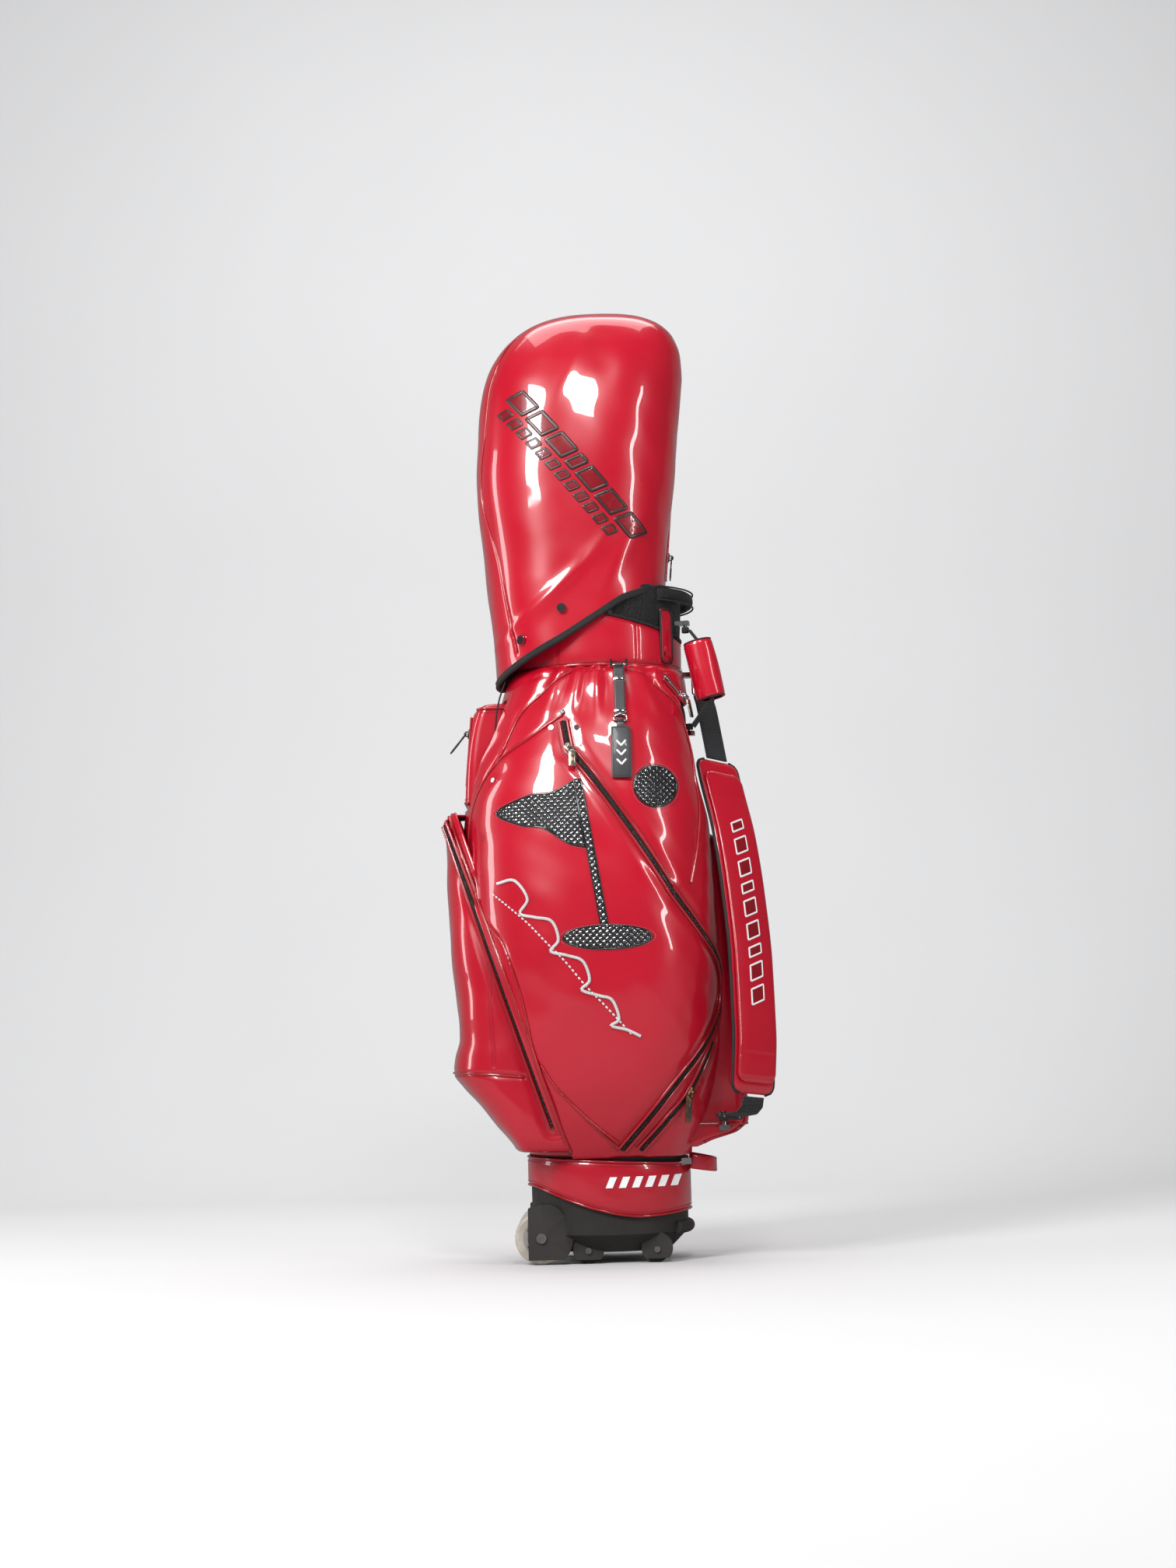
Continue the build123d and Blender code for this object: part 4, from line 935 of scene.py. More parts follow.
# ============================================================ ball pocket
# Reach to -X and half depth in Y at heights z.
BALL_Z = [145, 155, 181, 206, 231, 250, 269, 294, 344, 395, 470, 571, 592]
ball_left = monotone_curve(
    BALL_Z, [121, 126, 147, 167, 190, 203, 200, 193, 196, 201, 205, 207, 206])
ball_half = monotone_curve(
    BALL_Z, [112, 116, 120, 121, 120, 119, 118, 117, 115, 112, 107, 101, 99])


def ball_row(z, count, shrink=0.0):
    clamped = np.clip(z, 145, 592)
    reach, half = ball_left(clamped) - 100.0 - shrink, ball_half(clamped) - shrink
    turn = np.linspace(pi / 2, 3 * pi / 2, 700)
    row = np.stack([-100.0 - reach * np.abs(np.cos(turn)) ** (2 / 3),
                    half * signed_power(np.sin(turn), 2 / 3), np.full(700, z)], 1)
    plane_x = max(float(ball_plane_x(clamped)), -100.0 - reach * 0.975)
    if plane_x > -100:
        row = np.vstack([[plane_x, half, z], row, [plane_x, -half, z]])
    else:
        row = row[row[:, 0] <= plane_x]
    return resample(row, count)


def ball_side_y(z):
    return abs(float(ball_row(z, 5)[0][1]))


def shrunk_row(row, centre_x, scale, z):
    """A section scaled about (centre_x, 0), to close a shape's top or bottom."""
    return np.stack([centre_x + (row[:, 0] - centre_x) * scale, row[:, 1] * scale,
                     np.full(len(row), z)], 1)


stations = ([(146, 5.0), (147, 2.0), (149, 0.4)]
            + [(z, 0) for z in np.arange(151, 585, 2.4)]
            + [(586, 0), (589, 1.2), (591, 3.0), (592, 6.0)])
rows = [ball_row(z, 230, shrink) for z, shrink in stations]
ball_top_row = rows[-1]
rows += [shrunk_row(ball_top_row, -95, scale, 592.3) for scale in (0.9, 0.75, 0.55, 0.35)]
ball = Surface(rows)
fade = (smooth_step(147, 165, ball.grid[..., 2])
        * (1 - smooth_step(575, 590, ball.grid[..., 2])))
ball.lift += fade * (1.6 + 0.9 * wave(ball.grid) + 0.4 * wave(ball.grid[..., TURNED], 1.8))
ball_zips = {}
for tag, flip in (("front", np.ones(3)), ("back", MIRROR_Y)):
    line = BALL_ARC.line(-4.3, 12.9) * flip
    ball_zips[tag] = line[(line[:, 2] < 588) & (line[:, 2] > 150)]
    ball.follow(ball_zips[tag], depth=1.1, inner=8.0, outer=20.0)
half_seam = spline([(-ball_left(250), 0, 250), (-196, -60, 250), (-176, -97, 249),
                    (-140, -116, 246), (-108, -119, 243)])
cross_seam = np.vstack([(half_seam * MIRROR_Y)[::-1], half_seam[1:]])
ball.groove(cross_seam, depth=1.8, width=3.4, crown=1.2)
ribs = [spline([(-150, side * 108.0, 560), (-152, side * 110, 430), (-150, side * 113, 330),
                (-146, side * 115, 258)]) for side in (-1, 1)]
for rib in ribs:
    ball.groove(rib, depth=1.0, width=3.0)
ball.build("ball_pocket_leather", RED, LINING_RED, 2.4, replaces="ball_pocket")

parts = Parts()
path, normals = ball.place(cross_seam, 0.9)
parts.piping(path, ball.smooth_normals(cross_seam), 1.8)
parts.stitches(path, normals, lift=-0.4, side=4.4)
for rib in ribs:
    path, normals = ball.place(rib, 0.0)
    for side in (2.0, -2.0):
        parts.stitches(path, normals, lift=0.4, side=side)
for side in (-1, 1):
    # Piping and a backing strip where the pocket meets the body.
    edge = np.array([[float(ball_plane_x(z)),
                      side * max(abs(float(body_y(ball_plane_x(z), z))), ball_side_y(z)), z]
                     for z in np.arange(150, 590, 2.0)])
    normal = unit(np.array([-0.35, side, 0.0]))
    parts.piping(edge + normal * 0.6, normal, 2.3)
    parts.sweep(edge - normal * 5.0, normal, strip_section(20, 3.0), 2)
parts.piping(ball_top_row + [0, 0, 0.4], UP, 2.0)


def gusset_point(z, share, side):
    """Wall between body and pocket; share runs 0..1 from the body inwards."""
    plane_x = float(ball_plane_x(z))
    outer = abs(float(body_y(plane_x + 1.0, z))) + 0.6
    inner = min(ball_side_y(max(z, 147.0)), outer) - 7.0
    return (plane_x + 1.6 - 3.0 * math.sin(pi * share),
            side * (outer + (inner - outer) * share), z)


for side, tag in ((-1, "front"), (1, "back")):
    wall = np.array([[gusset_point(z, share, side) for share in np.linspace(0, 1, 9)]
                     for z in np.arange(141.0, 592.0, 4.0)])
    Surface(wall[:, ::-side]).build(f"ball_pocket_gusset_{tag}", RED, LINING_RED, 1.2)
parts.build("ball_pocket_piping", [RED_FLAT, THREAD_RED, RED], slot="patent_red")
for tag, line in ball_zips.items():
    zip_line(f"ball_zip_line_{tag}", ball, line, 21)


# ============================================================ box-like side pockets
class BoxPocket:
    """Level sections of a rounded box open towards the tube; side -1 is at -X, 1 at +X."""

    def __init__(self, outer_x, half_depth, side, corner):
        self.outer_x, self.half_depth = outer_x, half_depth
        self.side, self.corner = side, corner

    def row(self, z, shrink, count, inner_x):
        outer = abs(float(self.outer_x(z))) - shrink
        half = self.half_depth - shrink
        radius = max(min(self.corner, outer - inner_x - 1), 2.0)
        turn = np.linspace(0, pi / 2, 24)
        first = np.stack([outer - radius + radius * np.sin(turn),
                          -(half - radius) - radius * np.cos(turn)], 1)
        second = np.stack([outer - radius + radius * np.cos(turn),
                           (half - radius) + radius * np.sin(turn)], 1)
        path = np.vstack([[inner_x, -half], first, second, [inner_x, half]])
        if self.side < 0:
            path = (path * [-1.0, 1.0])[::-1]
        return resample(np.column_stack([path, np.full(len(path), z)]), count)

    def trim_rims(self, parts, rims, shrink, count, centre_x, radius, lift):
        """Piping round the box at each (z, rise of its stitch line)."""
        for z, rise in rims:
            loop = self.row(z, shrink, count, 108.0)
            out = unit(np.stack([loop[:, 0] - centre_x, loop[:, 1], np.zeros(count)], 1))
            parts.piping(loop, out, radius)
            parts.stitches(loop + [0, 0, rise], out, lift=lift)


CLOSING = (0.93, 0.8, 0.6, 0.4)    # scales of the rows that close a pocket's top

# Valuables pocket, high at -X.
valuables_box = BoxPocket(
    monotone_curve([600, 603, 640, 690, 728, 738], [179, 179, 177, 172, 162, 156]),
    half_depth=61.0, side=-1, corner=14.0)
stations = ([(601, 6.0), (602, 3.0), (604, 1.0)] + [(z, 0.0) for z in np.arange(606, 730, 3.0)]
            + [(732, 0.6), (735, 2.0), (737, 4.5), (738, 8.0)])
rows = [valuables_box.row(z, shrink, 120, 106.0) for z, shrink in stations]
valuables = Surface(
    [shrunk_row(rows[0], -100.0, scale, 600.6) for scale in (0.5, 0.75, 0.93)] + rows
    + [shrunk_row(rows[-1], -100.0, scale, 738.3) for scale in CLOSING])
fade = (smooth_step(602, 612, valuables.grid[..., 2])
        * (1 - smooth_step(726, 736, valuables.grid[..., 2])))
valuables.lift += fade * (1.0 + 0.6 * wave(valuables.grid)
                          - 1.2 * (np.abs(valuables.grid[..., 1]) / 61.0) ** 4)
VALUABLES_ZIP_START = np.array([-171.2, -34.0, 700.0])
VALUABLES_ZIP_END = np.array([-176.6, -34.0, 640.0])
direction = unit(VALUABLES_ZIP_END - VALUABLES_ZIP_START)
valuables_zip = resample(np.vstack([VALUABLES_ZIP_START - direction * 22,
                                    VALUABLES_ZIP_START + direction * 70]), step=1.5)
valuables.follow(valuables_zip, depth=1.1, inner=7.5, outer=14.0)
valuables.build("valuables_pocket_leather", RED, LINING_RED, 2.2, replaces="valuables_pocket")
zip_line("valuables_zip_line", valuables, valuables_zip, 15)
parts = Parts()
valuables_box.trim_rims(parts, ((606.0, 5.0), (731.0, -5.0)), shrink=-0.6, count=160,
                        centre_x=-140, radius=1.8, lift=0.6)
parts.build("valuables_piping", [RED_FLAT, THREAD_RED], slot="patent_red")

# Long pocket under the strap, at +X.
side_box = BoxPocket(
    monotone_curve([146, 156, 168, 181, 250, 350, 450, 558],
                   [116, 136, 172, 183, 180, 172, 163, 150]),
    half_depth=74.0, side=1, corner=16.0)
stations = ([(147, 2.0)]
            + [(z, 0.0) for z in np.r_[np.arange(149, 185, 2.0), np.arange(185, 548, 3.0)]]
            + [(551, 0.8), (555, 3.0), (557, 6.0), (558, 10.0)])
rows = [side_box.row(z, shrink, 150, 106.0) for z, shrink in stations]
side_pocket = Surface(rows + [shrunk_row(rows[-1], 98.0, scale, 558.3) for scale in CLOSING])
fade = (smooth_step(150, 185, side_pocket.grid[..., 2])
        * (1 - smooth_step(540, 556, side_pocket.grid[..., 2])))
side_pocket.lift += fade * (1.0 + 0.8 * wave(side_pocket.grid)
                            - 1.0 * (np.abs(side_pocket.grid[..., 1]) / 74.0) ** 4)
side_pocket.groove(resample([(170.5, -74, 300), (183, -60, 300), (184, 60, 300), (170, 74, 300)],
                            step=2.0), depth=1.4, width=3.0)
side_pocket.build("strap_side_pocket_leather", RED, LINING_RED, 2.4,
                  replaces="strap_side_pocket")
parts = Parts()
side_box.trim_rims(parts, ((176.0, 5.0), (549.0, -5.0)), shrink=-0.5, count=180,
                   centre_x=120, radius=1.9, lift=0.5)
heights = np.arange(152, 552, 2.0)
for side in (-1, 1):
    edge = np.stack([side_box.outer_x(heights) - 3.0, np.full(len(heights), side * 71.5),
                     heights], 1)
    normal = unit(np.array([1.0, side, 0]))
    parts.piping(edge - normal * 1.0, normal, 1.8)
parts.build("strap_side_piping", [RED_FLAT, THREAD_RED], slot="patent_red")


# ============================================================ tube skin and collar
def ring_surface(stations, count):
    """Closed rings of (radius, height); a height may differ round the ring."""
    angles = ring_angles(count)
    return Surface([np.stack([radius * np.cos(angles), radius * np.sin(angles),
                              np.broadcast_to(height, count)], 1)
                    for radius, height in stations], closed=True)


skin = ring_surface([(104.4 + 1.4 + (z - 139) / 658 * 4.0, z)
                     for z in np.arange(139.5, 797, 4.0)], 200)
skin.lift += 0.35 * wave(skin.grid, 1.5)
skin.build("body_skin_leather", RED, LINING, 1.2, replaces="body_skin")

COLLAR_COUNT = 320
COLLAR_LOW, COLLAR_HIGH = 779.5, 886.0


def collar_edge(angles):
    """Height of the collar band's slanted top edge, lowest at +X."""
    return np.minimum(850 - 0.24 * (113 * np.cos(angles)), 885.0)


edge_z = collar_edge(ring_angles(COLLAR_COUNT))
band = ring_surface([(111.6 + 2.9 * (1 - abs(2 * t - 1) ** 5),
                      COLLAR_LOW + (edge_z - COLLAR_LOW) * t) for t in np.linspace(0, 1, 30)],
                    COLLAR_COUNT)
band.lift += 0.3 * wave(band.grid, 1.7)
angles = np.arctan2(band.grid[..., 1], band.grid[..., 0])
for degrees in (-118, 62, -62, 118, 180, 0):    # upright seams
    gap = np.abs((angles - math.radians(degrees) + pi) % (2 * pi) - pi) * 113
    band.lift -= 0.9 * np.exp(-(gap / 2.4) ** 2)
band.build("collar_band_leather", RED, LINING, 1.4, replaces="collar_band")

parts = Parts()
angles = ring_angles(360)
out = radial(angles)
low_ring = out * 114.6 + [0, 0, 779.0]
high_ring = out * 114.0
high_ring[:, 2] = collar_edge(angles)
parts.piping(low_ring, out, 2.1, 0, closed=True)
parts.piping(high_ring, out, 1.8, 1, closed=True)
for rise, ring in ((5.0, low_ring), (-5.0, high_ring)):
    parts.stitches(ring + [0, 0, rise], out, lift=0.4, material=2, closed=True)
parts.build("collar_piping", [RED_FLAT, BINDING, THREAD_RED], slot="trim_black")

# Padded mesh collar with a rolled lip; channels every 30 degrees.
stations = [(111.2 + 3.6 * math.sin(pi * (0.12 + 0.88 * t) ** 0.8 * 0.62),
             edge_z + 0.4 + (COLLAR_HIGH - edge_z - 0.4) * t) for t in np.linspace(0, 1, 16)]
stations += [(106.5 + 7.6 * math.cos(t * pi), COLLAR_HIGH + 4.4 * math.sin(t * pi))
             for t in np.linspace(0.1, 1.0, 14)]
stations += [(98.9, 884.0), (98.9, 880.0)]
pad = ring_surface(stations, COLLAR_COUNT)
swell = 0.5 + 0.5 * np.cos(np.arctan2(pad.grid[..., 1], pad.grid[..., 0]) * 12)
pad.lift += -0.9 * (1 - swell ** 0.35) + 0.25 * wave(pad.grid, 2.0)
pad.build("collar_pad_mesh", MESH_BLACK, MESH_BLACK, 1.0, slot="mesh_black",
          replaces="collar_pad")


# ============================================================ D-shaped top handle
def inflate(obj, most, pressure=4.0, voxel=0.0045):
    """Remeshes a closed shell and puffs it up with cloth, moving no point over `most` mm."""
    remesh = obj.modifiers.new("remesh", "REMESH")
    remesh.mode, remesh.voxel_size = "VOXEL", voxel
    bpy.context.view_layer.objects.active = obj
    graph = bpy.context.evaluated_depsgraph_get()
    mesh = bpy.data.meshes.new_from_object(obj.evaluated_get(graph))
    obj.modifiers.clear()
    finishes = list(obj.data.materials)
    obj.data = mesh
    obj.data.materials.clear()
    for finish in finishes:
        obj.data.materials.append(finish)
    rest = np.array([vertex.co for vertex in obj.data.vertices])
    cloth = obj.modifiers.new("cloth", "CLOTH")
    settings = cloth.settings
    settings.quality = 4
    settings.mass = 0.2
    settings.tension_stiffness = 12
    settings.compression_stiffness = 12
    settings.bending_stiffness = 0.8
    settings.use_pressure = True
    settings.uniform_pressure_force = pressure
    settings.effector_weights.gravity = 0
    cloth.collision_settings.use_collision = False
    scene = bpy.context.scene
    for number in range(1, 21):
        scene.frame_set(number)
    graph = bpy.context.evaluated_depsgraph_get()
    puffed = bpy.data.meshes.new_from_object(obj.evaluated_get(graph))
    moved = np.array([vertex.co for vertex in puffed.vertices]) - rest
    obj.modifiers.clear()
    scene.frame_set(1)
    length = np.linalg.norm(moved, axis=1, keepdims=True)
    moved *= np.minimum(1.0, (most * 0.001) / np.maximum(length, 1e-9))
    for vertex, point in zip(obj.data.vertices, rest + moved):
        vertex.co = point
    relax = obj.modifiers.new("relax", "SMOOTH")
    relax.factor, relax.iterations = 0.5, 6
    subdivide = obj.modifiers.new("smooth", "SUBSURF")
    subdivide.levels = subdivide.render_levels = 1
    obj.data.polygons.foreach_set("use_smooth", np.full(len(obj.data.polygons), True))
    obj.data.update()


HANDLE_CENTRE, HANDLE_RADIUS = [36, 0, 877.5], 92.5
path = HANDLE_CENTRE + radial(np.linspace(-1.08, 1.08, 70)) * HANDLE_RADIUS
path = path[np.hypot(path[:, 0], path[:, 1]) > 110.5]
turn = ring_angles(20)
section = np.stack([5.2 * signed_power(np.cos(turn), 0.7), 9.6 * signed_power(np.sin(turn), 0.7)],
                   1)
parts = Parts()
parts.sweep(path, UP, section)
inflate(parts.build("top_handle_mesh", [MESH_BLACK], slot="mesh_black", replaces="top_handle"),
        most=1.2)
parts = Parts()
out = unit(path - HANDLE_CENTRE)
for rise in (-9.0, 9.0):
    parts.piping(path + out * 3.6 + [0, 0, rise], out, 1.2)
parts.build("top_handle_piping", [BINDING], slot="trim_black")

# ============================================================ spine pad, with sewn channels
reach = math.asin(57 / 118)
angles, heights = np.meshgrid(np.linspace(-reach, reach, 90), np.linspace(563, 738, 110))
across = np.clip(np.abs(angles) / reach, 0, 1)
crown = (1 - across ** 6) ** 0.5 * (1 - (np.abs(heights - 650.5) / 87.5) ** 8) ** 0.5
radius = 110.9 + 7.6 * crown
for channel_z in (598, 633, 668, 703):
    radius -= 2.6 * np.exp(-((heights - channel_z) / 3.2) ** 2) * crown
radius += 0.25 * np.sin(angles * 60) * crown
spine = Surface(np.stack([radius * np.cos(angles), radius * np.sin(angles), heights], -1))
spine.build("spine_pad_mesh", MESH_BLACK, MESH_BLACK, 0.8, slot="mesh_black",
            replaces="spine_pad")

# ============================================================ collar tab
TAB_ANGLE = math.radians(-36)


def tab_outline(radius, half_width, low, high):
    """Rounded rectangle wrapped on a cylinder at the tab, with its outward directions."""
    flat = rounded_rectangle(-half_width, half_width, low, high, 9.0, 15)
    out = radial(TAB_ANGLE + flat[:, 0] / radius)
    points = out * radius
    points[:, 2] = flat[:, 1]
    return points, out


across, heights = np.meshgrid(np.linspace(-1, 1, 26), np.linspace(785, 857, 50))
half_width = 12.4 * (1 - 0.35 * np.clip((796 - heights) / 11, 0, 1) ** 2)
crown = 1 - np.abs(across) ** 4
radius = 114.9 + 1.9 * crown * (1 - np.clip(np.abs(heights - 821) / 36, 0, 1) ** 8)
angles = TAB_ANGLE + across * half_width / 115.0
tab = Surface(np.stack([radius * np.cos(angles), radius * np.sin(angles), heights], -1))
tab.build("collar_tab_leather", RED, LINING, 0.5, replaces="collar_tab")
parts = Parts()
parts.piping(*tab_outline(115.9, 13.0, 784.6, 857.6), 1.35, closed=True)
parts.stitches(*tab_outline(116.9, 9.6, 788, 854), lift=0.1, closed=True)
parts.build("collar_tab_piping", [BINDING, THREAD_RED], slot="trim_black")

# ============================================================ base band
# Its wavy lower edge: height at x.
band_low = monotone_curve([-130, -102, -75, -50, -20, 14, 40, 65, 104, 130],
                          [100, 100, 91, 81, 71, 63, 60, 61, 65, 67])


def band_high(x):
    return 132 - 0.055 * x


x = 106 * np.cos(ring_angles(340))
base_band = ring_surface(
    [(105.6 + 2.6 * (1 - abs(2 * t - 1) ** 6),
      band_low(x) + 0.5 + (band_high(x) - band_low(x) - 1.0) * t)
     for t in np.linspace(0, 1, 40)], 340)
base_band.lift += 0.25 * wave(base_band.grid, 1.4)
base_band.build("base_band_leather", RED, LINING, 1.4, replaces="base_band")
parts = Parts()
angles = ring_angles(400)
out = radial(angles)
for edge_height, shift, rise in ((band_low, 0.8, 5.0), (band_high, -0.6, -5.0)):
    ring = out * 107.3
    ring[:, 2] = edge_height(106 * np.cos(angles)) + shift
    parts.piping(ring, out, 1.7, closed=True)
    parts.stitches(ring + [0, 0, rise], out, lift=1.0, closed=True)
parts.build("base_band_piping", [RED_FLAT, THREAD_RED], slot="patent_red")

# Six white slanted bars on the front of the band.
parts = Parts()
for k in range(6):
    bar = np.array(slanted_bar(-6 + k * 17.0, 9, 6, 98, 112), float)
    angles = -np.arccos(np.clip(bar[:, 0] / 108.6, -1, 1))
    points = [(radius * math.cos(angle), radius * math.sin(angle), z)
              for radius in (108.3, 109.1) for angle, z in zip(angles, bar[:, 1])]
    parts.add(points, [[4, 5, 6, 7], [3, 2, 1, 0], [0, 1, 5, 4], [1, 2, 6, 5], [2, 3, 7, 6],
                       [3, 0, 4, 7]])
parts.build("base_band_bars", [PRINT_WHITE], smooth=False)

# ============================================================ rain hood
# Reach to -X, reach to +X and half depth in Y at heights z.
HOOD_Z = [755, 823, 890, 950, 1000, 1050, 1113, 1163, 1189, 1214, 1239, 1252, 1264, 1270]
hood_left = monotone_curve(
    HOOD_Z, [134, 138, 146, 150, 153, 154, 150, 144, 137, 124, 102, 84, 56, 30])
hood_right = monotone_curve(
    HOOD_Z, [100, 97, 95, 99, 104, 109, 114, 119, 121, 120, 112, 101, 80, 58])
hood_half = monotone_curve(
    HOOD_Z, [124, 124, 124, 122, 121, 119, 115, 109, 103, 94, 80, 68, 47, 28])
# Hem height z at x.
HEM_X = [-170, -134, -100, -43, 2, 34, 74, 100, 170]
HEM_Z = [765, 765, 784, 813, 841, 863, 880, 890, 893]
HOOD_TOP = 1268.0
# Slack folds and dents: x and z of the middle, slope, width, height.
HOOD_FOLDS = [(-30, 900, 0.9, 13, 2.2), (40, 930, 0.5, 12, 1.8), (-90, 850, 1.2, 10, 1.6),
              (10, 1215, -0.2, 16, -1.8), (-20, 1190, 0.5, 12, 1.3)]
HOOD_SEAM = [(-96, 1236), (-127, 1180), (-141, 1100), (-147, 1016), (-129, 928), (-106, 800)]
HOOD_ZIP_START, HOOD_ZIP_END = np.array([98.6, 0, 940.0]), np.array([118.0, 0, 1160.0])


def hood_point(angle, z):
    left, right = hood_left(z), hood_right(z)
    x = (right - left) / 2 + (right + left) / 2 * signed_power(np.cos(angle), 2 / SQUARENESS)
    return np.stack([x, hood_half(z) * signed_power(np.sin(angle), 2 / SQUARENESS), z], -1)


def on_hood(outline, side=-1):
    """(x, z) points on the hood's front (side -1) or back (side 1)."""
    outline = np.asarray(outline, float)
    x, z = outline[:, 0], outline[:, 1]
    left, right = hood_left(z), hood_right(z)
    share = np.clip(np.abs(x - (right - left) / 2) / ((right + left) / 2), 0, 0.9999)
    return np.stack([x, side * hood_half(z) * (1 - share ** SQUARENESS) ** (1 / SQUARENESS), z],
                    1)


# Columns evenly spaced round the section at z = 1000, each starting at the hem.
columns = 460
dense = np.linspace(0, 2 * pi, 4001)
section = hood_point(dense, np.full(4001, 1000.0))
run = np.r_[0, np.cumsum(np.linalg.norm(np.diff(section, axis=0), axis=1))]
angles = np.interp(np.linspace(0, run[-1], columns, endpoint=False), run, dense)
hem_z = np.full(columns, 850.0)
for _ in range(12):
    hem_z = np.interp(hood_point(angles, hem_z)[:, 0], HEM_X, HEM_Z)
hem_z = np.convolve(np.r_[hem_z[-4:], hem_z, hem_z[:4]], np.ones(9) / 9, "valid")
rows = [hood_point(angles, hem_z + (HOOD_TOP - hem_z) * t)
        for t in np.linspace(0, 1, 210) ** 0.92]
rows += [shrunk_row(rows[-1], 14.0, scale, HOOD_TOP + rise)
         for scale, rise in ((0.85, 0.8), (0.65, 1.5), (0.4, 2.0), (0.15, 2.2))]
hood = Surface(rows, closed=True)
x, z = hood.grid[..., 0], hood.grid[..., 2]
fade = 1 - smooth_step(1225, 1262, z)
hood.lift += (4.6 * smooth_step(900, 1080, z)
              + fade * (0.9 * wave(hood.grid, 0.55) + 0.45 * wave(hood.grid[..., TURNED], 1.3)))
for fold_x, fold_z, slope, width, height in HOOD_FOLDS:
    gap = (x - fold_x) - (z - fold_z) * slope
    hood.lift += (fade * height * np.exp(-(gap / width) ** 2)
                  * np.exp(-((z - fold_z) / 55.0) ** 2) * (np.abs(hood.grid[..., 1]) > 30))
hood_seams = [spline(on_hood(HOOD_SEAM, side)) for side in (-1, 1)]
for seam in hood_seams:
    hood.groove(seam, depth=1.3, width=2.6, crown=0.7)
direction = unit(HOOD_ZIP_END - HOOD_ZIP_START)
hood_zip = resample(np.vstack([HOOD_ZIP_START - direction * 32,
                               HOOD_ZIP_START + direction * 233]), step=1.5)
hood.follow(hood_zip, depth=1.1, inner=7.5, outer=16.0)
hood.build("hood_leather", RED, LINING, 2.4, "hood_body", replaces="hood")
zip_line("hood_zip_line", hood, hood_zip, 15, body="hood_body", replaces="hood_zip_track")
parts = Parts()
for seam in hood_seams:
    path, normals = hood.place(seam, 0.8)
    parts.piping(path, hood.smooth_normals(seam), 1.5)
    for side in (3.8, -3.8):
        parts.stitches(path, normals, lift=-0.3, side=side)
parts.build("hood_piping", [RED_FLAT, THREAD_RED], "hood_body", "patent_red")

# Binding round the hem.
shape = hood.shape()
out = hood.normals[0]
edge = shape[0] + unit(shape[3] - shape[0]) * 3.6 - out * 1.2
hem = resample(looped(np.hstack([edge, out])), step=1.8)
path, normals = hem[:, :3], unit(hem[:, 3:])
parts = Parts()
parts.sweep(path[:-1], normals[:-1], strip_section(9.4, 4.6, crown=0.5, count=7), closed=True)
for side in (-2.6, 2.6):
    parts.stitches(path, normals, lift=2.9, side=side)
parts.build("hood_binding", [BINDING, THREAD_BLACK], "hood_body", "trim_black",
            replaces="hood_trim")


def raised_shapes(outlines, place, name, body, line_finish, height, line_radius, slot=None):
    """Domed plates with a flattened edge line. place(outline, above) puts them on a surface."""
    parts = Parts()
    for outline in outlines:
        ring = resample(looped(np.asarray(outline, float)), step=1.2)[:-1]
        centre = ring.mean(0)
        layers = [place(centre + (ring - centre) * scale, above) for scale, above in (
            (1.0, 0.0), (0.985, height), (0.80, height + 0.15), (0.45, height + 0.2),
            (0.08, height + 0.22))]
        count = len(ring)
        points = np.vstack([layer[0] for layer in layers])
        normals = layers[0][1]
        quads = grid_faces(len(layers), count, closed=True)
        cap = list(range(4 * count, 5 * count))
        inward = points[count] - points[0] + (points[2 * count] - points[count])
        if np.cross(points[1] - points[0], inward) @ normals[0] < 0:
            quads, cap = quads[:, ::-1], cap[::-1]
        parts.add(points, quads, [cap])
        parts.sweep(points[:count] + normals * 0.5, normals, circle(line_radius, 10, 0.42), 1,
                    closed=True)
    parts.build(name, [EMBOSS_RED, line_finish], body, slot)


def on_hood_surface(outline, above):
    return hood.place(on_hood(outline), above)


# Slanted bars and a row of dashes, on a diagonal across the hood's front.
DIAGONAL_START = np.array((-100, 1146), float)
DIAGONAL = unit(np.array((70, 936), float) - DIAGONAL_START)
DIAGONAL_UP = np.array([-DIAGONAL[1], DIAGONAL[0]])


def diagonal_bar(*bar):
    return [DIAGONAL_START + DIAGONAL * x + DIAGONAL_UP * y for x, y in slanted_bar(*bar)]


bars = []
start = 0.0
for width in (30, 30, 30, 12, 30, 30, 30):
    bars.append(diagonal_bar(start, width, 6, -10.5, 10.5))
    start += width + 9
dashes = [diagonal_bar(6.0 + 19.0 * k, 11, 4, -32, -19) for k in range(12)]
raised_shapes(bars, on_hood_surface, "hood_embossed_bars", "hood_body", MAROON,
              height=1.0, line_radius=2.7, slot="patent_red")
raised_shapes(dashes, on_hood_surface, "hood_embossed_dashes", "hood_body", MAROON,
              height=0.7, line_radius=1.7, slot="patent_red")


# ============================================================ studded appliques on the front
def is_inside(outline, x, z):
    """Even-odd test of grid points against an outline."""
    inside = np.zeros(x.shape, bool)
    for (x1, z1), (x2, z2) in zip(outline, np.roll(outline, 1, axis=0)):
        if abs(z2 - z1) > 1e-9:
            inside ^= ((z1 > z) != (z2 > z)) & (x < (x2 - x1) * (z - z1) / (z2 - z1) + x1)
    return inside


def ellipse(x, z, radius_x, radius_z, count):
    return [(x + radius_x * math.cos(turn), z + radius_z * math.sin(turn))
            for turn in ring_angles(count)]


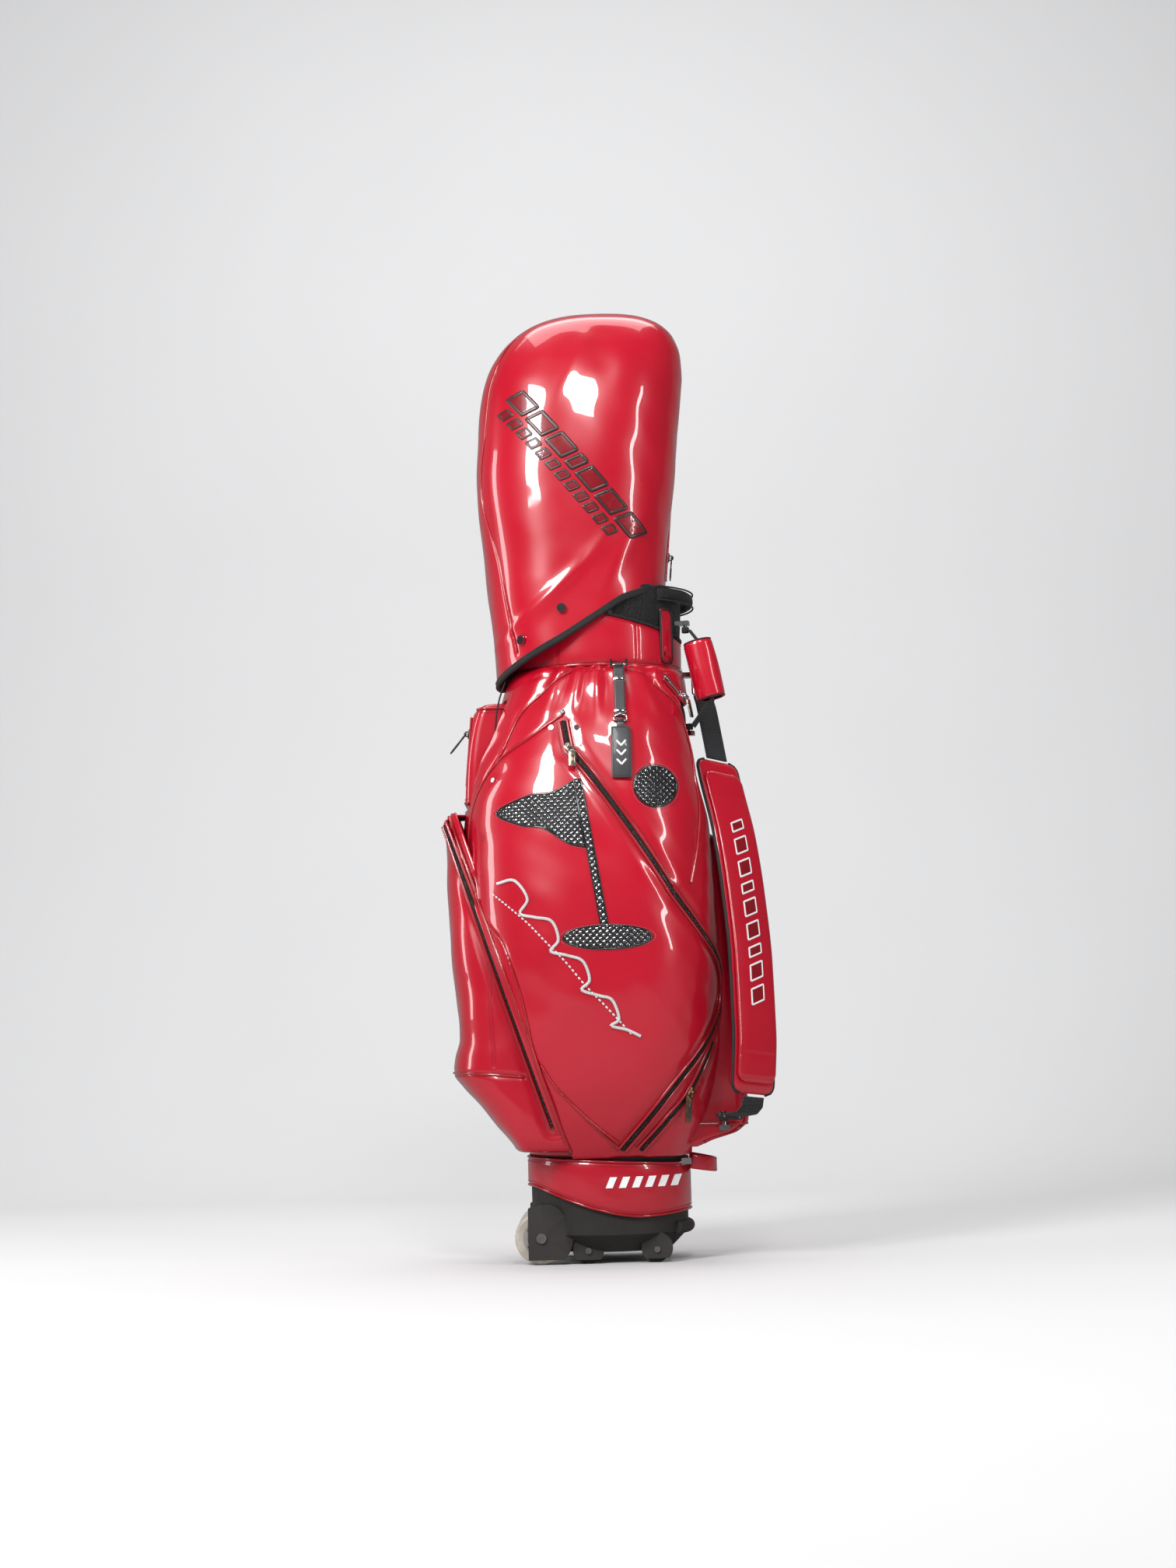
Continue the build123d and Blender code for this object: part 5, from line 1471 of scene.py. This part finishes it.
GRID_STEP = 1.25
STUD_PITCH = 6.0
BALL_DISC = ellipse(70, 612, 27, 27, 60)
HOLE = ellipse(4, 418, 56, 15, 80)
POLE = [(-3, 428), (6, 428), (-25, 622), (-34, 622)]
FLAG = np.vstack([spline([(-34, 620), (-62, 606), (-92, 603), (-134, 584), (-104, 566),
                          (-74, 560), (-44, 540), (-22, 534)], 2.0),
                  [(-26, 560), (-31, 600)]])
studs, edging = Parts(), Parts()
for outline in (BALL_DISC, HOLE, POLE, FLAG):
    outline = np.asarray(outline, float)
    low, high = outline.min(0) - GRID_STEP, outline.max(0) + GRID_STEP
    x, z = np.meshgrid(np.arange(low[0], high[0], GRID_STEP),
                       np.arange(low[1], high[1], GRID_STEP))
    # Square studs set diagonally: place within a stud cell, -0.5..0.5 on each axis.
    first = ((x + z) / math.sqrt(2) / STUD_PITCH) % 1 - 0.5
    second = ((x - z) / math.sqrt(2) / STUD_PITCH) % 1 - 0.5
    dome = np.maximum(0, 1 - (np.maximum(np.abs(first), np.abs(second)) / 0.46) ** 2).ravel()
    points, normals = front.place(on_front(np.column_stack([x.ravel(), z.ravel()])), 0.9)
    points = points + normals * (1.5 * dome[:, None])
    quads = grid_faces(*x.shape)
    quads = quads[is_inside(outline, x, z).ravel()[quads].all(1)]
    used = np.unique(quads)
    renumber = np.full(x.size, -1)
    renumber[used] = np.arange(len(used))
    studs.add(points[used], renumber[quads], material=(dome[quads].mean(1) > 0.40).astype(int))
    ring = resample(looped(outline), step=1.2)[:-1]
    edging.piping(*front.place(on_front(ring), 1.0), 1.15, closed=True)
    centre = ring.mean(0)
    grow = 1 + 3.0 / np.linalg.norm(ring - centre, axis=1).mean()
    edging.stitches(*front.place(on_front(centre + (ring - centre) * grow), 0.4), lift=0.2,
                    pitch=2.8, length=2.2, closed=True)
solid = studs.build("applique_studs", [STUD_BED, STUD]).modifiers.new("thickness", "SOLIDIFY")
solid.thickness, solid.offset = 0.0009, -1.0
edging.build("applique_edging", [BLACK_PATENT, THREAD_PINK])

# White embroidery on the front: a looping line and a plainer dashed one beside it, (x, z).
LOOPING_LINE = [(-134, 492), (-112, 494), (-96, 470), (-106, 452), (-88, 446), (-66, 440),
                (-58, 416), (-68, 402), (-48, 396), (-28, 388), (-20, 364), (-30, 352),
                (-8, 344), (8, 338), (16, 314), (6, 306), (26, 300), (42, 292)]
DASHED_LINE = [(-140, 478), (-122, 462), (-96, 438), (-74, 414), (-50, 388), (-26, 358),
               (0, 330), (30, 296)]
parts = Parts()
parts.stitches(*front.place(on_front(spline(LOOPING_LINE, 1.2)), 0.5), lift=0.5,
               pitch=2.1, length=2.6, radius=1.9, material=0)
parts.stitches(*front.place(on_front(spline(DASHED_LINE, 1.2)), 0.5), lift=0.3,
               pitch=6.4, length=4.4, radius=1.15, material=0)
parts.build("embroidery_white", [THREAD_WHITE])


# ============================================================ zip sliders and pulls
def rotate_z(points, degrees):
    turn = math.radians(degrees)
    cos, sin = math.cos(turn), math.sin(turn)
    return points @ np.array([[cos, sin, 0], [-sin, cos, 0], [0, 0, 1.0]])


def rotate_y(points, degrees):
    turn = math.radians(degrees)
    cos, sin = math.cos(turn), math.sin(turn)
    return points @ np.array([[cos, 0, -sin], [0, 1.0, 0], [sin, 0, cos]])


# Slider plates: (length, width, thickness, corner), (shift x, y, z).
SLIDER_PLATES = [((12.6, 9.0, 1.5, 3.2), (-6.3, 0, 3.0)), ((9.0, 6.4, 0.7, 2.4), (-4.5, 0, 3.9)),
                 ((12.0, 1.6, 2.3, 0.6), (-6.0, -3.7, 1.5)),
                 ((12.0, 1.6, 2.3, 0.6), (-6.0, 3.7, 1.5))]
SLIDER_ARCH = [(-3.0, 0, 3.6), (-2.9, 0, 6.4), (-1.6, 0, 8.2), (0, 0, 8.6), (1.6, 0, 8.2),
               (2.9, 0, 6.4), (3.0, 0, 3.6)]
PIN_HEIGHT, LINK_LENGTH = 6.6, 7.6


def zip_hardware(tag, local, length, width, finishes, tilt=0.0, mirrored=False):
    """Slider and hanging pull. local: x along the zip, z outwards.

    finishes: metal, tab and the tab's raised panels. tilt swings the pull, in degrees.
    """
    slider = Parts()
    for size, shift in SLIDER_PLATES:
        slider.add_local(local, rounded_plate(*size), shift=shift, mirrored=mirrored)
    slider.add_local(local, sweep(spline(SLIDER_ARCH, 0.7), [0, 1.0, 0], circle(0.95, 8)),
                     mirrored=mirrored)
    slider.build(f"{tag}_slider_metal", [finishes[0]], f"{tag}_slider", "zip_metal",
                 replaces=f"{tag}_zip_slider")

    # The tab hangs straight down; `ahead` tells which way along the zip that lies.
    hang = math.degrees(math.atan2(-local[2][2], -local[1][2]))
    ahead = -1 if math.cos(math.radians(hang)) < 0 else 1
    link_x = LINK_LENGTH * ahead
    pull = Parts()

    def put(shape, material=0):
        points = rotate_y(shape[0], -tilt * ahead)
        pull.add_local(local, (points, *shape[1:3]), material, (0, 0, PIN_HEIGHT), mirrored)

    def put_hanging(plate, shift, material):
        points = rotate_z(plate[0] + np.array(shift, float), hang) + [link_x, 0, 0]
        put((points, *plate[1:]), material)

    put(sweep([[0, -3.7, 0], [0, 0, 0], [0, 3.7, 0]], UP, circle(1.1, 12)))
    for y in (-3.1, 3.1):
        put(sweep([[-0.6 * ahead, y, 0], [3 * ahead, y, 0.1], [7.4 * ahead, y, 0]], UP,
                  circle(0.95)))
    put(sweep([[link_x, -3.9, 0], [link_x, 0, 0], [link_x, 3.9, 0]], UP, circle(1.2)))
    put_hanging(rounded_plate(length, width, 1.7, 2.0, taper=0.92), (0, 0, 0), 1)
    for z in (1.0, -1.0):
        put_hanging(rounded_plate(length * 0.58, width * 0.5, 0.5, 1.4),
                    (length * 0.28, 0, z), 2)
    pull.build(f"{tag}_pull_tab", finishes, f"{tag}_pull", "pull_metal",
               replaces=f"{tag}_zip_pull")


def line_frame(start, end, out):
    """Local frame at the start of a straight zip."""
    direction = unit(end - start)
    out = np.array(out, float)
    out = unit(out - direction * (out @ direction))
    return start, direction, np.cross(out, direction), out


def body_normal(x, z):
    reach = 0.5
    along_x = front_point(x + reach, z) - front_point(x - reach, z)
    along_z = front_point(x, z + reach) - front_point(x, z - reach)
    return unit(np.cross(along_x, along_z))


zip_hardware("front", FRONT_ARC.local_frame(), 24, 10, (SATIN, SATIN, BRONZE))
zip_hardware("back", FRONT_ARC.local_frame(), 24, 10, (SATIN, SATIN, BRONZE), mirrored=True)
zip_hardware("lower", LOWER_ARC.local_frame(), 32, 9, (BRONZE, BRONZE, GUN))
zip_hardware("ball", BALL_FOOT_ARC.local_frame(), 24, 9, (GUN, PULL_LEATHER, GUN), mirrored=True)
zip_hardware("small", line_frame(SMALL_ZIP_START, SMALL_ZIP_END, body_normal(100.0, 751.0)),
             26, 9, (CHROME, SATIN, BRONZE))
zip_hardware("valuables", line_frame(VALUABLES_ZIP_START, VALUABLES_ZIP_END, (-1, 0, 0)),
             26, 9, (GUN, PULL_LEATHER, PULL_LEATHER), tilt=34.0)
zip_hardware("hood", line_frame(HOOD_ZIP_START, HOOD_ZIP_END, (1, 0, -0.09)),
             24, 9, (GUN, PULL_LEATHER, GUN))

# ============================================================ shoulder strap
STRAP_TOP, STRAP_FOOT = np.array([138.0, 8.0, 772.0]), np.array([150.0, -92.0, 178.0])
STRAP_AXIS = unit(STRAP_FOOT - STRAP_TOP)
STRAP_LENGTH = np.linalg.norm(STRAP_FOOT - STRAP_TOP)
STRAP_OUT = np.array([0.67, -0.74, 0])
STRAP_OUT = unit(STRAP_OUT - STRAP_AXIS * (STRAP_OUT @ STRAP_AXIS))
STRAP_ACROSS = np.cross(STRAP_AXIS, STRAP_OUT)
# How far the strap bows out from the straight line between its ends.
bow = monotone_curve([0, 26, 40, 85, 146, 231, 308, 400, 490, 555, 575, STRAP_LENGTH],
                     [7, 7, 10.5, 19, 30, 50, 60, 66, 65, 58, 55, 50])
PAD_START, PAD_END = 120.5, 573.5
SLEEVE_START, SLEEVE_END = 140.5, 559.5


def from_top(run, out=0.0, across=0.0):
    """Point at a run down the strap's straight line, moved outwards and across."""
    run, out, across = np.broadcast_arrays(np.asarray(run, float), out, across)
    return (STRAP_TOP + STRAP_AXIS * run[..., None] + STRAP_OUT * out[..., None]
            + STRAP_ACROSS * across[..., None])


def on_bow(run, height, across=0.0):
    """Points at a height above the bowed strap line, and the normals there."""
    slope = bow(run + 0.5) - bow(run - 0.5)
    lean, rise = -slope / np.hypot(1, slope), 1 / np.hypot(1, slope)
    points = from_top(run + lean * height, bow(run) + rise * height, across)
    return points, STRAP_AXIS * lean[:, None] + STRAP_OUT * rise[:, None]


parts = Parts()
path, normals = on_bow(np.linspace(27.2, 118.6, 40), 0.0)
parts.sweep(path, normals, strip_section(38.0, 2.4))
for side in (-15.0, 15.0):
    parts.stitches(path, normals, lift=1.3, side=side)
path = resample([from_top(STRAP_LENGTH - 7, 16.4), from_top(STRAP_LENGTH - 7, 42),
                 from_top(STRAP_LENGTH - 14, 52), from_top(577, 55)], step=3.0)
normals = np.cross(unit(np.gradient(path, axis=0)), STRAP_ACROSS)
normals = normals * np.sign((normals @ STRAP_AXIS)[:, None] + 1e-9)
parts.sweep(path, normals, strip_section(38.0, 2.4))
parts.build("strap_webbing_weave", [WEBBING, THREAD_BLACK], "shoulder_strap", "webbing_black",
            replaces="strap_webbing")


def pad_form(start, end, low, high, width, crown, channels=()):
    """Top and bottom lines of a crowned strip with rounded ends.

    low and high are heights above the strap line; channels are (run, depth) cross grooves.
    """
    round_end = 14.0
    run = np.linspace(start, end, 150)
    from_end = np.minimum(run - start, end - run)
    curl = 1 - (1 - np.clip(from_end / round_end, 0, 1)) ** 2
    half = width / 2 - round_end * (1 - np.sqrt(np.clip(curl, 0, 1)))
    middle = (low + high) / 2
    end_fade = np.clip(from_end / 8.0, 0, 1) ** 0.5
    top, bottom = [], []
    for share in np.linspace(-1, 1, 40):
        edge_fade = np.sqrt(max(1 - abs(share) ** 5, 0))
        above = middle + (high - middle + crown * (1 - share * share)) * edge_fade * end_fade
        for place, depth in channels:
            above -= depth * np.exp(-((run - place) / 3.0) ** 2) * edge_fade
        below = middle - (middle - low) * edge_fade * end_fade
        top.append(on_bow(run, above, share * half)[0])
        bottom.append(on_bow(run, below, share * half)[0])
    return np.array(top), np.array(bottom)


def add_strip(parts, top, bottom, under_material):
    """Closes the two faces into a solid; the underside and ends take under_material."""
    lines, rows, _ = top.shape
    loop = np.concatenate([top, bottom[::-1][1:-1]], 0).transpose(1, 0, 2)
    around = loop.shape[1]
    quads = grid_faces(rows, around, closed=True)
    is_under = np.tile(np.arange(around), rows - 1) >= lines - 1
    last = (rows - 1) * around
    parts.add(loop.reshape(-1, 3), np.vstack([quads[~is_under], quads[is_under]]),
              [list(range(around))[::-1], list(range(last, last + around))],
              material=np.sort(is_under) * under_material, cap_material=under_material)


parts = Parts()
pad_top, pad_bottom = pad_form(PAD_START, PAD_END, -6.0, 2.4, 75.0, 0.6)
add_strip(parts, pad_top, pad_bottom, 1)
parts.build("strap_pad_padded", [RED, MESH_BLACK], "shoulder_strap", "mesh_black",
            replaces="strap_pad", recalculate=True)
parts = Parts()
add_strip(parts, *pad_form(SLEEVE_START, SLEEVE_END, 3.3, 7.2, 69.0, 1.1,
                           channels=((176, 0.5), (524, 0.5))), 0)
parts.build("strap_sleeve_leather", [RED], "shoulder_strap", "patent_red",
            replaces="strap_sleeve", recalculate=True)

parts = Parts()
normals = on_bow(np.linspace(PAD_START, PAD_END, 150), -1.8)[1]
for side in (0, -1):
    parts.piping((pad_top[side] + pad_bottom[side]) / 2, normals, 2.1)
for start, end, height, half in ((PAD_START, PAD_END, 2.4, 33.0),
                                 (SLEEVE_START, SLEEVE_END, 6.6, 30.5)):
    for across in (-half, half):
        parts.stitches(*on_bow(np.linspace(start + 14, end - 14, 200), height, across), lift=0.7)
for run in (146.0, 554.0):
    parts.stitches(*on_bow(np.full(30, run), 6.8, np.linspace(-29, 29, 30)), lift=0.8)
parts.build("strap_trim", [BINDING, THREAD_RED], "shoulder_strap", "trim_black")


def on_sleeve(outline, above):
    """(run, across) points on the crowned sleeve."""
    run, across = outline[:, 0], outline[:, 1]
    share = across / 34.5
    return on_bow(run, 7.2 + 1.1 * (1 - share * share) + above - 0.3, across)


bars = []
start = 208.0
for k in range(9):
    width = 20.0 if k % 3 else 12.0
    bars.append(slanted_bar(start, width, 9, -11, 11))
    start += width + 11.0
raised_shapes(bars, on_sleeve, "strap_bars", "shoulder_strap", PRINT_WHITE,
              height=0.7, line_radius=1.3)

# Swivel hubs with clamp plates: hub run, plate run, plate height and thickness, material.
parts = Parts()
for hub, plate, height, thickness, material in (
        ((2.0, 12.0), (2.0, 26.0), 6.9, 3.2, 0),
        ((STRAP_LENGTH - 12, STRAP_LENGTH - 2), (STRAP_LENGTH - 10.5, STRAP_LENGTH - 3.5),
         10.0, 8.8, 1)):
    parts.sweep(from_top(np.linspace(*hub, 5)), STRAP_OUT, circle(6.4, 28), material,
                scale=np.array([5.6, 6.4, 6.4, 6.4, 5.6]) / 6.4)
    start, end = plate
    centre = from_top((start + end) / 2, height)
    parts.add_local((centre, STRAP_AXIS, np.cross(STRAP_OUT, STRAP_AXIS), STRAP_OUT),
                    rounded_plate(end - start, 42.0, thickness, 2.6, bevel=0.6), material,
                    shift=(-(end - start) / 2, 0, 0))
    for across in (-14, 14):    # domed rivets
        foot = centre + STRAP_OUT * (thickness / 2) + STRAP_ACROSS * across
        turn = np.linspace(0, pi / 2, 5)
        parts.sweep(foot + STRAP_OUT * 1.2 * np.sin(turn)[:, None], STRAP_AXIS, circle(2.6, 16),
                    scale=np.maximum(np.cos(turn), 0.08))
parts.build("strap_swivels", [CHROME, PLASTIC_DARK], "shoulder_strap", "bronze_metal",
            replaces="strap_fittings", recalculate=True)

# ============================================================ carry handle
CARRY_TOP, CARRY_FOOT = np.array([119.0, -54.0, 836.0]), np.array([121.0, -52.0, 696.0])
CARRY_AXIS = unit(CARRY_FOOT - CARRY_TOP)
CARRY_LENGTH = np.linalg.norm(CARRY_FOOT - CARRY_TOP)
CARRY_OUT = np.array([1.0, -0.25, 0])
CARRY_OUT = unit(CARRY_OUT - CARRY_AXIS * (CARRY_OUT @ CARRY_AXIS))
CARRY_ACROSS = np.cross(CARRY_AXIS, CARRY_OUT)


def carry_point(run, out=0.0):
    return CARRY_TOP + CARRY_AXIS * run + CARRY_OUT * out


grip_start, grip_end = carry_point(20, 16), carry_point(100, 33)
grip_axis = unit(grip_end - grip_start)
grip_length = np.linalg.norm(grip_end - grip_start)
grip_out = unit(CARRY_OUT - grip_axis * (CARRY_OUT @ grip_axis))
grip_across = np.cross(grip_axis, grip_out)
# The roll: one wrapped sheet whose end overlaps itself.
runs = np.linspace(0.6, grip_length - 0.6, 60)
turn = np.linspace(-0.3, 2 * pi + 0.9, 110)
rows = []
for run in runs:
    from_end = np.clip(min(run, grip_length - run) / 7.0, 0, 1)
    swell = (1 - 0.12 * (1 - from_end) ** 2) * (1 + 0.035 * math.sin(pi * run / grip_length))
    radius = (17.1 + 2.2 * turn / (2 * pi) + 0.35 * np.sin(turn * 3 + run / 14)) * swell
    radius = np.minimum(radius, 20.4)
    rows.append(grip_start + grip_axis * run + grip_out * (radius * np.cos(turn + 2.3))[:, None]
                + grip_across * (radius * np.sin(turn + 2.3))[:, None])
Surface(rows).build("carry_grip_roll", RED, LINING, 1.9, "carry_handle", replaces="carry_grip")

parts = Parts()
edge = np.array([row[-1] for row in rows])
out = unit(edge - (grip_start + grip_axis * runs[:, None]))
parts.piping(edge - out * 0.3, out, 1.15)
for side in (4.0, -4.0):
    parts.stitches(edge, out, lift=0.2, side=side)
for k in (1, -2):
    parts.piping(rows[k], unit(rows[k] - (grip_start + grip_axis * runs[k])), 1.1, 2)
parts.sweep([grip_start + grip_axis * 4, grip_start + grip_axis * (grip_length - 4)], grip_out,
            circle(15.2, 30), 3)
parts.build("carry_grip_edges", [THREAD_PINK, THREAD_RED, BINDING, LINING], "carry_handle",
            "patent_red")

parts = Parts()
path = resample([carry_point(5.0, 5.0), grip_start, grip_end,
                 carry_point(CARRY_LENGTH - 14.0, 12.0), carry_point(CARRY_LENGTH - 5.0, 5.0)],
                step=3.0)
normals = np.cross(unit(np.gradient(path, axis=0)), CARRY_ACROSS)
normals *= np.sign(normals @ CARRY_OUT)[:, None]
parts.sweep(path, normals, strip_section(23.6, 2.4))
for side in (-9, 9):
    parts.stitches(path, normals, lift=1.3, side=side)
for start in (1.0, CARRY_LENGTH - 9.0):
    parts.sweep([carry_point(start + k) for k in (0, 1, 4, 7, 8)], CARRY_OUT, circle(5.0, 22),
                scale=[0.86, 1, 1, 1, 0.86])
parts.build("carry_webbing_weave", [WEBBING, THREAD_BLACK], "carry_handle", "webbing_black",
            replaces="carry_webbing")

# ============================================================ tag
TAG_TOP = np.array([28.0, -123.0, 776.0])
RIGHT = np.array([1.0, 0, 0])


def outward(direction):
    """Normal of the strip hanging along `direction`, facing -Y."""
    normal = unit(np.cross(RIGHT, direction))
    return normal * np.sign(-normal[1])


hanger_axis, plate_axis = unit([0, -24.0, -78.0]), unit([0, -20.0, -75.0])
hanger_out, plate_out = outward(hanger_axis), outward(plate_axis)
hanger_end = TAG_TOP + hanger_axis * 80.0
parts = Parts()
parts.sweep([TAG_TOP + hanger_axis * run for run in np.linspace(2.5, 73.5, 24)], hanger_out,
            strip_section(13.6, 2.0))
parts.sweep([TAG_TOP + RIGHT * x for x in np.linspace(-6, 6, 5)], hanger_out, circle(3.3, 18))
path = [TAG_TOP + hanger_axis * run for run in np.linspace(6, 18, 8)]
for side in (-5, 5):
    parts.stitches(path, hanger_out, lift=1.2, side=side)
for run in (20.0, 66.0):    # keepers
    local = (TAG_TOP + hanger_axis * run, hanger_axis, np.cross(hanger_out, hanger_axis),
             hanger_out)
    parts.add_local(local, rounded_plate(6.0, 16.0, 3.6, 1.6, bevel=0.7), 2, shift=(-3.0, 0, 0))
for side in (RIGHT, -RIGHT):    # wire link
    path = spline([TAG_TOP + hanger_axis * 70, TAG_TOP + hanger_axis * 74 + side * 7.6,
                   hanger_end - hanger_axis * 2 + side * 8.0, hanger_end + side * 7.4], 1.0)
    parts.piping(path, hanger_out, 1.35, 2)
parts.sweep([hanger_end - RIGHT * 8, hanger_end, hanger_end + RIGHT * 8], hanger_out,
            circle(1.35, 12), 2)
parts.build("tag_strap_leather", [TAG_LEATHER, THREAD_BLACK, CHROME], "tag_hanger",
            "tag_leather", replaces="tag_strap")

parts = Parts()
local = (hanger_end + plate_axis * 8.0, plate_axis, np.cross(plate_out, plate_axis), plate_out)
parts.add_local(local, rounded_plate(71.0, 25.0, 3.2, 2.4, bevel=0.6))
parts.add_local(local, rounded_plate(11.5, 9.5, 2.4, 1.5, bevel=0.4), shift=(-9.0, 0, 0))
parts.sweep([hanger_end - RIGHT * 5, hanger_end, hanger_end + RIGHT * 5], plate_out,
            circle(3.0, 18))
border = rounded_rectangle(2, 69, -10.5, 10.5, 2, 4)
parts.stitches(to_world(np.column_stack([border, np.full(len(border), 1.6)]), local), plate_out,
               lift=0.15, pitch=3.0, closed=True)
for x in (20, 33, 46):
    chevron = np.array([(x, -6, 1.75), (x + 7, 0, 1.75), (x, 6, 1.75)], float)
    parts.sweep(resample(to_world(chevron, local), step=0.8), plate_out,
                strip_section(2.6, 0.5), 2)
parts.build("bag_tag_leather", [TAG_LEATHER, THREAD_BLACK, THREAD_WHITE], "tag_plate",
            "tag_leather", replaces="bag_tag")

# ============================================================ low grab loop and hood cord
LOOP_Z = 128.0
path = [97, 0, LOOP_Z] + radial(np.linspace(-1.33, 1.33, 60)) * 44.4
path = path[path[:, 0] > 104.5]
# The loop tilts up or down by 10 degrees, whichever way its CAD piece leans.
low_corner, high_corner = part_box("grab_loop")
lean = 1.0 if (low_corner.z + high_corner.z) * 500 > LOOP_Z else -1.0
path[:, 2] = LOOP_Z + lean * (path[:, 0] - 103.5) * math.tan(math.radians(10))
normals = unit(np.stack([path[:, 0] - 97, path[:, 1], np.zeros(len(path))], 1))
parts = Parts()
parts.sweep(path, normals, strip_section(19.0, 3.0, crown=0.2))
for side in (-7.4, 7.4):
    parts.stitches(path, normals, lift=1.7, side=side)
parts.build("grab_loop_leather", [RED, THREAD_RED], "low_loop", "patent_red",
            replaces="grab_loop")

parts = Parts()
parts.sweep(spline([(-121, -52, 772), (-126, -60, 758), (-131, -66, 742), (-135, -70, 722),
                    (-137, -72, 700)]), [-0.6, -0.8, 0], circle(1.1, 8))
parts.build("hood_cord", [BINDING], slot="trim_black")

# ============================================================ finishes of the CAD pieces kept
CAD_FINISHES = {
    "base_shell": PLASTIC, "base_pad": EVA, "wheel_axles": STEEL, "roller_pins": STEEL,
    "body_tube": TUBE, "stay_rods": STAY, "divider_sheets": DIVIDER, "top_frame": PLASTIC_DARK,
    "rivets": CHROME, "hood_snaps": CHROME, "body_anchors": CHROME,
}
PREFIX_FINISHES = {"wheel_hub": HUB, "wheel_tyre": TYRE, "wheel_bearings": STEEL,
                   "roller_": RUBBER}
for name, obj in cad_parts.items():
    by_prefix = [finish for prefix, finish in PREFIX_FINISHES.items() if name.startswith(prefix)]
    finish = CAD_FINISHES.get(name) or (by_prefix[0] if by_prefix else None)
    if finish is not None:
        obj.data.materials.clear()
        obj.data.materials.append(finish)


# ============================================================ floor, lights, world, camera (m)
def floor_material():
    """Pale matt floor that reflections see as dark grey."""
    mat = Material("mat_floor")
    patches = mat.noise(mat.coords(), scale=1.5, detail=2)
    mat.finish({"Base Color": mat.mix(patches, (0.69, 0.69, 0.695), (0.72, 0.72, 0.725)),
                "Roughness": 0.85,
                "Specular IOR Level": 0.15})
    shade = mat.add("BsdfDiffuse", {"Color": (0.24, 0.22, 0.22)}).outputs[0]
    mixed = mat.mix_shaders(mat.ray("Glossy"), mat.shader.outputs[0], shade)
    mat.plug(mat.output.inputs[0], mixed)
    return mat.material


def build_floor():
    """A floor 12 m wide that curves up into a wall behind the bag."""
    half_width, bend = 6.0, 1.6    # the bend's radius is also the y where it starts
    profile = ([(-6.0, 0.0), (bend, 0.0)]
               + [(bend + bend * math.sin(t), bend - bend * math.cos(t))
                  for t in np.linspace(0.05, pi / 2, 24)]
               + [(3.2, 6.0)])
    points = [(x, y, z) for y, z in profile for x in (-half_width, half_width)]
    faces = [[2 * k, 2 * k + 1, 2 * k + 3, 2 * k + 2] for k in range(len(profile) - 1)]
    mesh = bpy.data.meshes.new("floor_sweep")
    mesh.from_pydata(points, [], faces)
    mesh.materials.append(floor_material())
    mesh.polygons.foreach_set("use_smooth", np.full(len(faces), True))
    floor = bpy.data.objects.new("floor_sweep", mesh)
    bpy.context.scene.collection.objects.link(floor)


def area(name, place, target, size, power):
    """Rectangular light aimed at target. size: (width, height)."""
    light = bpy.data.lights.new(name, "AREA")
    light.shape = "RECTANGLE"
    light.size, light.size_y = size
    light.energy = power
    light.color = (1, 1, 1)
    obj = bpy.data.objects.new(name, light)
    obj.location = place
    aim = Vector(target) - Vector(place)
    obj.rotation_euler = aim.to_track_quat("-Z", "Y").to_euler()
    bpy.context.scene.collection.objects.link(obj)


def build_world():
    """Pale backdrop to the camera, soft fill on surfaces, nearly dark in reflections."""
    world = bpy.data.worlds.new("studio")
    bpy.context.scene.world = world
    world.use_nodes = True
    nodes = Nodes(world.node_tree)
    output = nodes.add("OutputWorld")

    def background(colour, strength):
        return nodes.add("Background", {"Color": colour, "Strength": strength}).outputs[0]

    lit = background(colour=(0.95, 0.96, 0.97), strength=0.42)
    dim = background(colour=(0.80, 0.80, 0.84), strength=0.055)
    pale = background(colour=(0.93, 0.93, 0.935), strength=0.86)
    unseen = nodes.mix_shaders(nodes.ray("Glossy"), lit, dim)
    nodes.plug(output.inputs[0], nodes.mix_shaders(nodes.ray("Camera"), unseen, pale))


def build_camera(eye, target, up):
    camera = bpy.data.cameras.new("camera")
    camera.sensor_fit = "VERTICAL"
    camera.angle = math.radians(33.48)
    obj = bpy.data.objects.new("camera", camera)
    forward = (target - eye).normalized()
    right = forward.cross(up).normalized()
    turn = Matrix((right, right.cross(forward), -forward)).transposed()
    obj.matrix_world = Matrix.Translation(eye) @ turn.to_4x4()
    bpy.context.scene.collection.objects.link(obj)
    bpy.context.scene.camera = obj


build_floor()
area("key", place=(-1.6, -2.3, 2.2), target=(0, 0, 0.7), size=(0.8, 1.3), power=74)
area("glare", place=(0.25, -2.7, 2.6), target=(0, 0, 0.7), size=(0.5, 0.3), power=26)
area("strip", place=(1.9, -1.4, 1.2), target=(0, 0, 0.7), size=(0.16, 1.4), power=10)
area("overhead", place=(0.0, 0.6, 3.6), target=(0, 0.4, 0.0), size=(2.6, 2.0), power=40)
area("backdrop_wash", place=(0.0, 1.0, 3.4), target=(0, 3.2, 1.6), size=(3.0, 1.0), power=20)
area("side_left", place=(-2.2, 0.2, 1.0), target=(0, 0, 0.6), size=(0.35, 1.5), power=9)
build_world()
bpy.context.scene.view_settings.view_transform = "Standard"
build_camera(eye=Vector((-0.016, -3.5, 0.270)), target=Vector((-0.016, 0.0, 0.633)),
             up=Vector((0.0244, -0.1031, 0.9944)))
